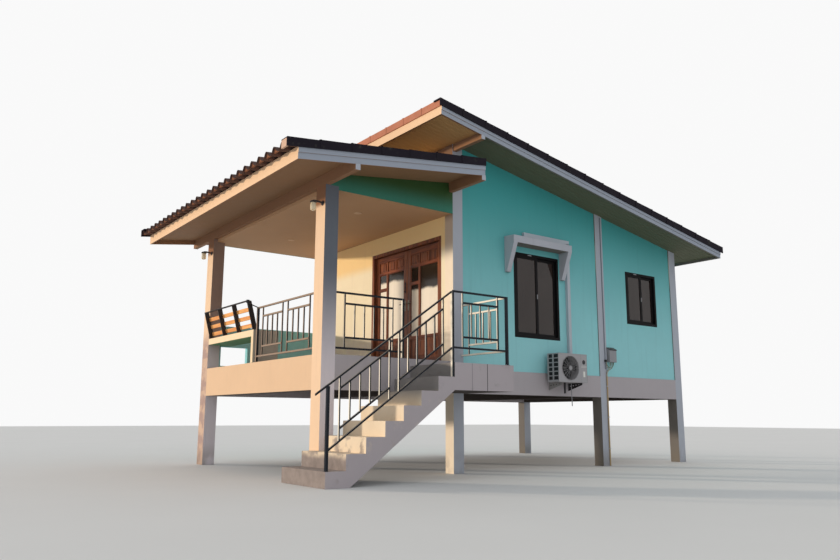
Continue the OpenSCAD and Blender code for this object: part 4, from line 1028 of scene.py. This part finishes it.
# %% Case, side openings and fins
fan_x, fan_z, face = 4.575, 1.66, -0.33
case_low, case_high, sheet_x0, sheet_x1 = 1.424, 1.896, 4.289, 4.296
softened("ac_case", "cooler_case", 0.004, cool_white, "ac_shell")
columns, rows = [(-0.317, -0.218), (-0.186, -0.104)], [1.826 - 0.0735 * i for i in range(6)]
edges_y = [face + 0.001, *columns[0], *columns[1], -0.071]
edges_z = [case_low, *[v for z in reversed(rows) for v in (z, z + 0.058)], case_high]
add_piece("cooler_side_sheet", drawn(
    *[(box, (sheet_x0, a, case_low), (sheet_x1, b, case_high))
      for a, b in zip(edges_y[::2], edges_y[1::2])],
    *[(box, (sheet_x0, low - 0.001, a), (sheet_x1, high + 0.001, b))
      for low, high in columns for a, b in zip(edges_z[::2], edges_z[1::2])]),
    cool_white, "ac_shell")
fin = drawn((box, (0.0018, 0.0, 0.0), (0.0028, 0.104, 0.0585)),
            *[(box, (0.0002, 0.0, z), (0.002, 0.104, z + 0.002)) for z in (0.012, 0.026, 0.04)])
copies("cooler_fins", fin, [(4.292, low - 0.002, z) for low in (-0.317, -0.206) for z in rows],
       vent_black, "dark_plastic")

# %% Guard, small parts, drain and brackets
guard_wire = drawn((tube, [(0.036, -0.003, 0), (0.08, -0.0042, 0), (0.13, -0.0046, 0),
                           (0.18, -0.004, 0), (0.203, -0.003, 0)], 0.0021, 6))
add_mesh("cooler_guard_wires", spinning.grow(guard_wire, guard_grey, (fan_x, face, fan_z),
                                             Count=20), None, "ac_shell", stands_for=["ac_guard"])
rings = [(tube, [(fan_x + radius * math.cos(a * math.pi / 24), face - 0.0042,
                  fan_z + radius * math.sin(a * math.pi / 24)) for a in range(48)],
          thick, 6, True) for radius, thick in ((0.204, 0.003), (0.15, 0.001), (0.095, 0.001))]
hole_shade_disc = drawn((lathe, [(0, 0), (0.0105, 0), (0.0105, 0.001), (0, 0.001)], (0, 0, 0), 16, "-x"))
for name, paint, slot, *shapes in (
        ("cooler_guard_rings", guard_grey, "ac_shell", *rings,
         (lathe, [(0, 0.001), (0.037, 0.001), (0.039, 0.003), (0.034, 0.0056), (0, 0.0059)],
          (fan_x, face, fan_z), 32, "-y")),
        ("cooler_throat", vent_black, "dark_plastic",
         (lathe, [(0, -0.146), (0.197, -0.146), (0.197, -0.143), (0, -0.143)],
          (fan_x, face, fan_z), 48, "-y")),
        ("cooler_round_plate", dark_plastic, "dark_plastic",
         (lathe, [(0, 0), (0.036, 0), (0.038, 0.0015), (0.035, 0.003), (0, 0.0035)],
          (4.905, face, 1.768), 32, "-y"),
         *[(box, (x, face - 0.0006, case_low), (x + 0.0012, face + 0.002, case_high))
           for x in (4.8295, 4.9835)]),
        ("cooler_handle", lamp_white, "ac_shell",
         (box, (4.884, face - 0.006, 1.515), (4.93, face + 0.002, 1.612), 0.0028, 3),
         *[(box, (4.84, face - 0.002, z), (4.975, face + 0.002, z + 0.004))
           for z in (1.7, 1.68)]),
        ("cooler_lid_lip", cool_white, "ac_shell",
         (box, (4.29, face - 0.003, 1.888), (4.988, face + 0.258, 1.903), 0.003, 3)),
        ("cooler_drain", meter_grey, "white_plastic",
         (tube, [(4.735, -0.19, 1.425), (4.735, -0.19, 1.3), (4.738, -0.19, 1.16),
                 (4.742, -0.19, 1.03)], 0.0075)),
        ("cooler_elbow", dark_plastic, "dark_plastic",
         (tube, [(4.573, -0.19, 1.424), (4.573, -0.19, 1.33), (4.572, -0.192, 1.24)],
          0.018, 14))):
    add_piece(name, drawn(*shapes), paint, slot)
# Dark discs in the left bracket's holes are painted shade seen through them.
copies("bracket_holes", hole_shade_disc, [(4.387, -0.0504 - 0.063 * i, 1.3719 + 0.0068 * i)
                               for i in range(4)], vent_black, "dark_plastic")
print("air conditioner drawn")

# %% [markdown]
# ## Meter, conduit and their cables
# The meter hangs beside the middle column. Five short cables droop between it, the thin
# pipe that comes down from the eaves, and the bent top of the conduit. Each cable is a tube
# on a smooth curve through four given corners, straight down out of its exit, and its
# length is printed.

# %% Meter with its dark lid, bent conduit top and clips
def smooth_path(corners, steps):
    """Points on a Bezier curve of four corners."""
    a, b, c, d = [Vector(p) for p in corners]
    return [a * (1 - t) ** 3 + b * 3 * t * (1 - t) ** 2 + c * 3 * t * t * (1 - t) + d * t ** 3
            for t in [i / steps for i in range(steps + 1)]]


softened("meter_box", "meter_case", 0.004, meter_grey, "grey_paint")
lid = [(0.015, 2.11), (-0.064, 2.068), (-0.066, 2.064), (-0.066, 2.05), (-0.06, 2.05),
       (-0.06, 2.06), (0.015, 2.1)]
add_piece("meter_lid", drawn((prism, lid, 5.923, 6.121)), dark_plastic, "dark_plastic")
bend = smooth_path([(5.883, -0.012, 1.58), (5.883, -0.012, 1.64), (5.89, -0.014, 1.66),
                    (5.922, -0.022, 1.69)], 12)
add_piece("conduit_top", drawn((tube, bend, 0.0135, 14)), cable_pale, "white_plastic")
add_piece("pipe_gland", drawn((box, (5.84, -0.042, 1.836), (5.874, 0.0, 1.878), 0.003)),
          dark_plastic, "white_plastic")
clip = drawn((box, (-0.02, -0.0262, -0.007), (0.02, -0.0242, 0.007), 0.0008),
             *[(box, (x, -0.0262, -0.007), (x + 0.008, 0.0, 0.007), 0.0008)
               for x in (-0.02, 0.012)])
copies("conduit_clips", clip, [(5.883, 0, z) for z in (0.3, 0.85, 1.4)], zinc, "rail_steel")

# %% Cables
cable_r = 0.0048
cables = [("meter_cable_short", cable_pale, (5.952, -0.036, 1.838), (5.952, -0.036, 1.76),
           (5.948, -0.034, 1.716), (5.92, -0.023, 1.6885)),
          ("meter_cable_long", cable_olive, (6.035, -0.036, 1.838), (6.035, -0.036, 1.73),
           (5.985, -0.036, 1.715), (5.924, -0.0245, 1.69)),
          ("pipe_cable_front", cable_olive, (5.857, -0.026, 1.838), (5.857, -0.026, 1.69),
           (5.978, -0.034, 1.69), (5.978, -0.03, 1.838)),
          ("pipe_cable_back", cable_pale, (5.857, -0.037, 1.838), (5.857, -0.037, 1.648),
           (6.008, -0.038, 1.648), (6.008, -0.034, 1.838)),
          ("pipe_cable_outer", cable_olive, (5.866, -0.032, 1.838), (5.866, -0.032, 1.7),
           (6.06, -0.034, 1.7), (6.06, -0.03, 1.838))]
for name, sheath, *corners in cables:
    path = smooth_path(corners, 24)
    made = add_piece(name, drawn((tube, path, cable_r, 8)), sheath, "dark_plastic", smooth=True)
    length = sum((b - a).length for a, b in zip(path, path[1:]))
    tuple(home + path[0])
    [tuple(home + p) for p in path]
    print(name, round(length, 3), "m")

# %% [markdown]
# ## Lamps on the porch
# Two jar lanterns hang from short arms on the porch columns, each with a dark lid, a clear
# jar and a bulb. Two flat lamps sit in the ceiling. Round things are turned from a profile,
# as on a lathe.

# %% Lanterns and ceiling lamps
def draw_lamps():
    dark, jar, glow, rims = bmesh.new(), bmesh.new(), bmesh.new(), bmesh.new()
    for y in (0.075, 4.26):
        hung = (-0.15, y, 3.8)
        lathe(dark, [(0, 0), (0.036, 0), (0.038, 0.002), (0.036, 0.008), (0.014, 0.0118),
                     (0, 0.012)], (0, y, 3.82), 24, "-x")
        tube(dark, [(-0.006, y, 3.82), (-0.06, y, 3.83), (-0.12, y, 3.832),
                    (-0.15, y, 3.829)], 0.014, 12)
        lathe(dark, [(0, 0.002), (0.042, 0.002), (0.047, 0.006), (0.047, 0.018), (0.032, 0.029),
                     (0.012, 0.034), (0, 0.034)], hung)
        lathe(jar, [(0, -0.1149), (0.024, -0.114), (0.035, -0.108), (0.041, -0.096),
                    (0.042, -0.03), (0.036, -0.008), (0.035, 0.004), (0.0325, 0.004),
                    (0.0335, -0.009), (0.0395, -0.031), (0.0385, -0.095), (0.033, -0.105),
                    (0.023, -0.1105), (0, -0.1115)], hung)
        lathe(glow, [(0, -0.075), (0.012, -0.071), (0.018, -0.055), (0.016, -0.038),
                     (0.009, -0.018), (0.009, 0.004), (0, 0.004)], hung, 16)
    for y in (0.89, 3.204):
        lathe(rims, [(0, -0.006), (0.046, -0.006), (0.05, -0.008), (0.06, -0.0075),
                     (0.062, -0.001), (0.062, 0), (0, 0)], (1.0857, y, 4.035), 32)
    add_piece("lantern_metal", dark, dark_plastic, "window_metal", stands_for=["wall_lamps"])
    add_piece("lantern_jars", jar, jar_glass, "clear_glass", stands_for=["lamp_jars"],
              smooth=True)
    add_piece("lantern_bulbs", glow, lamp_white, "white_plastic", smooth=True)
    add_piece("ceiling_lamps", rims, rim_cream, "white_plastic", stands_for=["downlights"])


draw_lamps()
print("lamps drawn")

# %% [markdown]
# ## The slatted rack on the counter
# Four dark boards lean outwards over the counter's edge under a thin top board, with three
# orange slats between them. The leaning boards are blocks that are sheared afterwards, so
# their ends stay level. A dark strut ties the near end to the railing's post.

# %% Boards, slats and strut
near_y, far_y, deep, board_t = 2.28, 4.14, 0.082, 0.02
rack_low, rack_high = 2.22, 2.685
bay = (far_y - near_y - board_t) / 3
rack_boards = drawn(
    *[(box, (0.001, near_y + i * bay, rack_low), (deep, near_y + i * bay + board_t, rack_high),
       0.002) for i in range(4)],
    (box, (0.0, near_y - 0.004, rack_high - 0.018), (0.03, far_y, rack_high), 0.002))
rack_slats = drawn(*[
    (box, (deep - 0.02, near_y + i * bay + board_t, rack_low + up),
     (deep - 0.002, near_y + (i + 1) * bay, rack_low + up + 0.062), 0.003)
    for i in range(3) for up in (0.05, 0.178, 0.306)])
for v in [*rack_boards.verts, *rack_slats.verts]:
    v.co.x -= max(0.0, v.co.z - home[2] - rack_low) * math.tan(math.radians(15))
add_piece("rack_boards", rack_boards, rack_dark, "rack_wood", stands_for=["slat_rack"])
add_piece("rack_slats", rack_slats, rack_orange, "rack_wood", stands_for=["slat_rack"])
add_piece("rack_strut", drawn(
    (tube, [(-0.088, 2.284, 2.64), (-0.04, 2.24, 2.61), (0.04, 2.182, 2.565)], 0.009, 8),
    (lathe, [(0, -0.03), (0.026, -0.026), (0.03, 0), (0.026, 0.022), (0, 0.026)],
     (-0.1, 2.29, 2.672), 16)), dark_plastic, "dark_plastic")
print("rack drawn")

# %% [markdown]
# ## Plates and screws
# Three end posts of the railings stand on small plates with four screws each, and the
# pipe trunking has a cap over each joint. These pieces are all alike, so the recipe for
# copies on points sets them.

# %% Post plates, screws and trunking joints
feet = [(0.04, 2.182, 1.685), (1.377, 0.04, 1.685), (2.485, -1.005, 1.576)]
copies("post_plates", drawn((box, (-0.036, -0.03, 0.0), (0.036, 0.03, 0.005), 0.0015)), feet,
       rail_steel, "rail_steel")
screw = drawn((lathe, [(0, 0.0008), (0.0048, 0.0008), (0.0048, 0.004), (0.003, 0.0052),
                       (0, 0.0052)], (0, 0, 0), 6))
copies("post_plate_screws", screw,
       [(x + dx, y + dy, z + 0.0045) for x, y, z in feet for dx in (-0.028, 0.028)
        for dy in (-0.022, 0.022)], zinc, "rail_steel")
outer, inner = -0.0415, 0.0148
copies("trunking_joints", drawn((box, (-0.037, outer, -0.03), (0.037, inner, 0.03), 0.004)),
       [(4.92, 0, z) for z in (2.35, 3.1)], trunk_plastic, "white_plastic")
add_piece("trunking_corner", drawn(
    (box, (4.8, outer, 3.877), (4.9575, inner, 3.953), 0.005),
    (box, (4.883, outer, 3.76), (4.9575, inner, 3.9), 0.005),
    (box, (3.842, outer, 3.877), (3.88, inner, 3.953), 0.004)), trunk_plastic, "white_plastic")
print("small parts set")

# %% [markdown]
# ## Stage and light
# The house stands on a plain pale floor under soft studio light. A low warm lamp from the
# porch side lights the faces that look at the porch, and an even, slightly cool world
# lights the rest, so the two sides part as they do late in the day. Rays that come straight
# from the camera, or by way of glass and metal, see a white room.

# %% Floor
floor_bm = bmesh.new()
bmesh.ops.create_grid(floor_bm, x_segments=1, y_segments=1, size=60)
floor = new_object("floor", mesh_of(floor_bm, "floor"))
floor.location.z = -0.002
pale_floor = Finish("floor_pale", Roughness=0.85)
floor.data.materials.append(pale_floor.finished(Base_Color=pale_floor.tint(
    (0.76, 0.755, 0.74), 0.97 + 0.06 * pale_floor.noise(0.5, 4))))
print("floor at", round(floor.location.z, 3), "m")

# %% World and lamp
world = bpy.data.worlds.new("studio")
world.use_nodes = True
bpy.context.scene.world = world
world.node_tree.nodes.clear()
sky = Graph(world.node_tree)
camera_ray, glass_ray, metal_ray = [
    sky.node("ShaderNodeLightPath", out=kind)
    for kind in ("Is Camera Ray", "Is Transmission Ray", "Is Glossy Ray")]
soft, white = [
    sky.node("ShaderNodeBackground", {"Color": shade, "Strength": strength})
    for shade, strength in (((0.92, 0.96, 1.0, 1), 0.62), ((1, 1, 1, 1), 0.95))]
both = sky.node("ShaderNodeMixShader", {
    0: camera_ray | glass_ray | metal_ray, 1: soft, 2: white})
sky.tree.links.new(both.socket, sky.tree.nodes.new("ShaderNodeOutputWorld").inputs["Surface"])

lamp_data = bpy.data.lights.new("low_warm_lamp", "SUN")
lamp_data.energy, lamp_data.angle, lamp_data.color = 3.25, math.radians(2.5), (1.0, 0.86, 0.7)
lamp = new_object("low_warm_lamp", lamp_data)
lamp.visible_glossy = False
lamp.rotation_mode = "QUATERNION"
light_travels = Vector((0.597, -0.795, -0.125))
lamp.rotation_quaternion = light_travels.to_track_quat("-Z", "Y")
bpy.context.scene.view_settings.view_transform = "Standard"
print("world at 0.62, lamp at", lamp_data.energy)
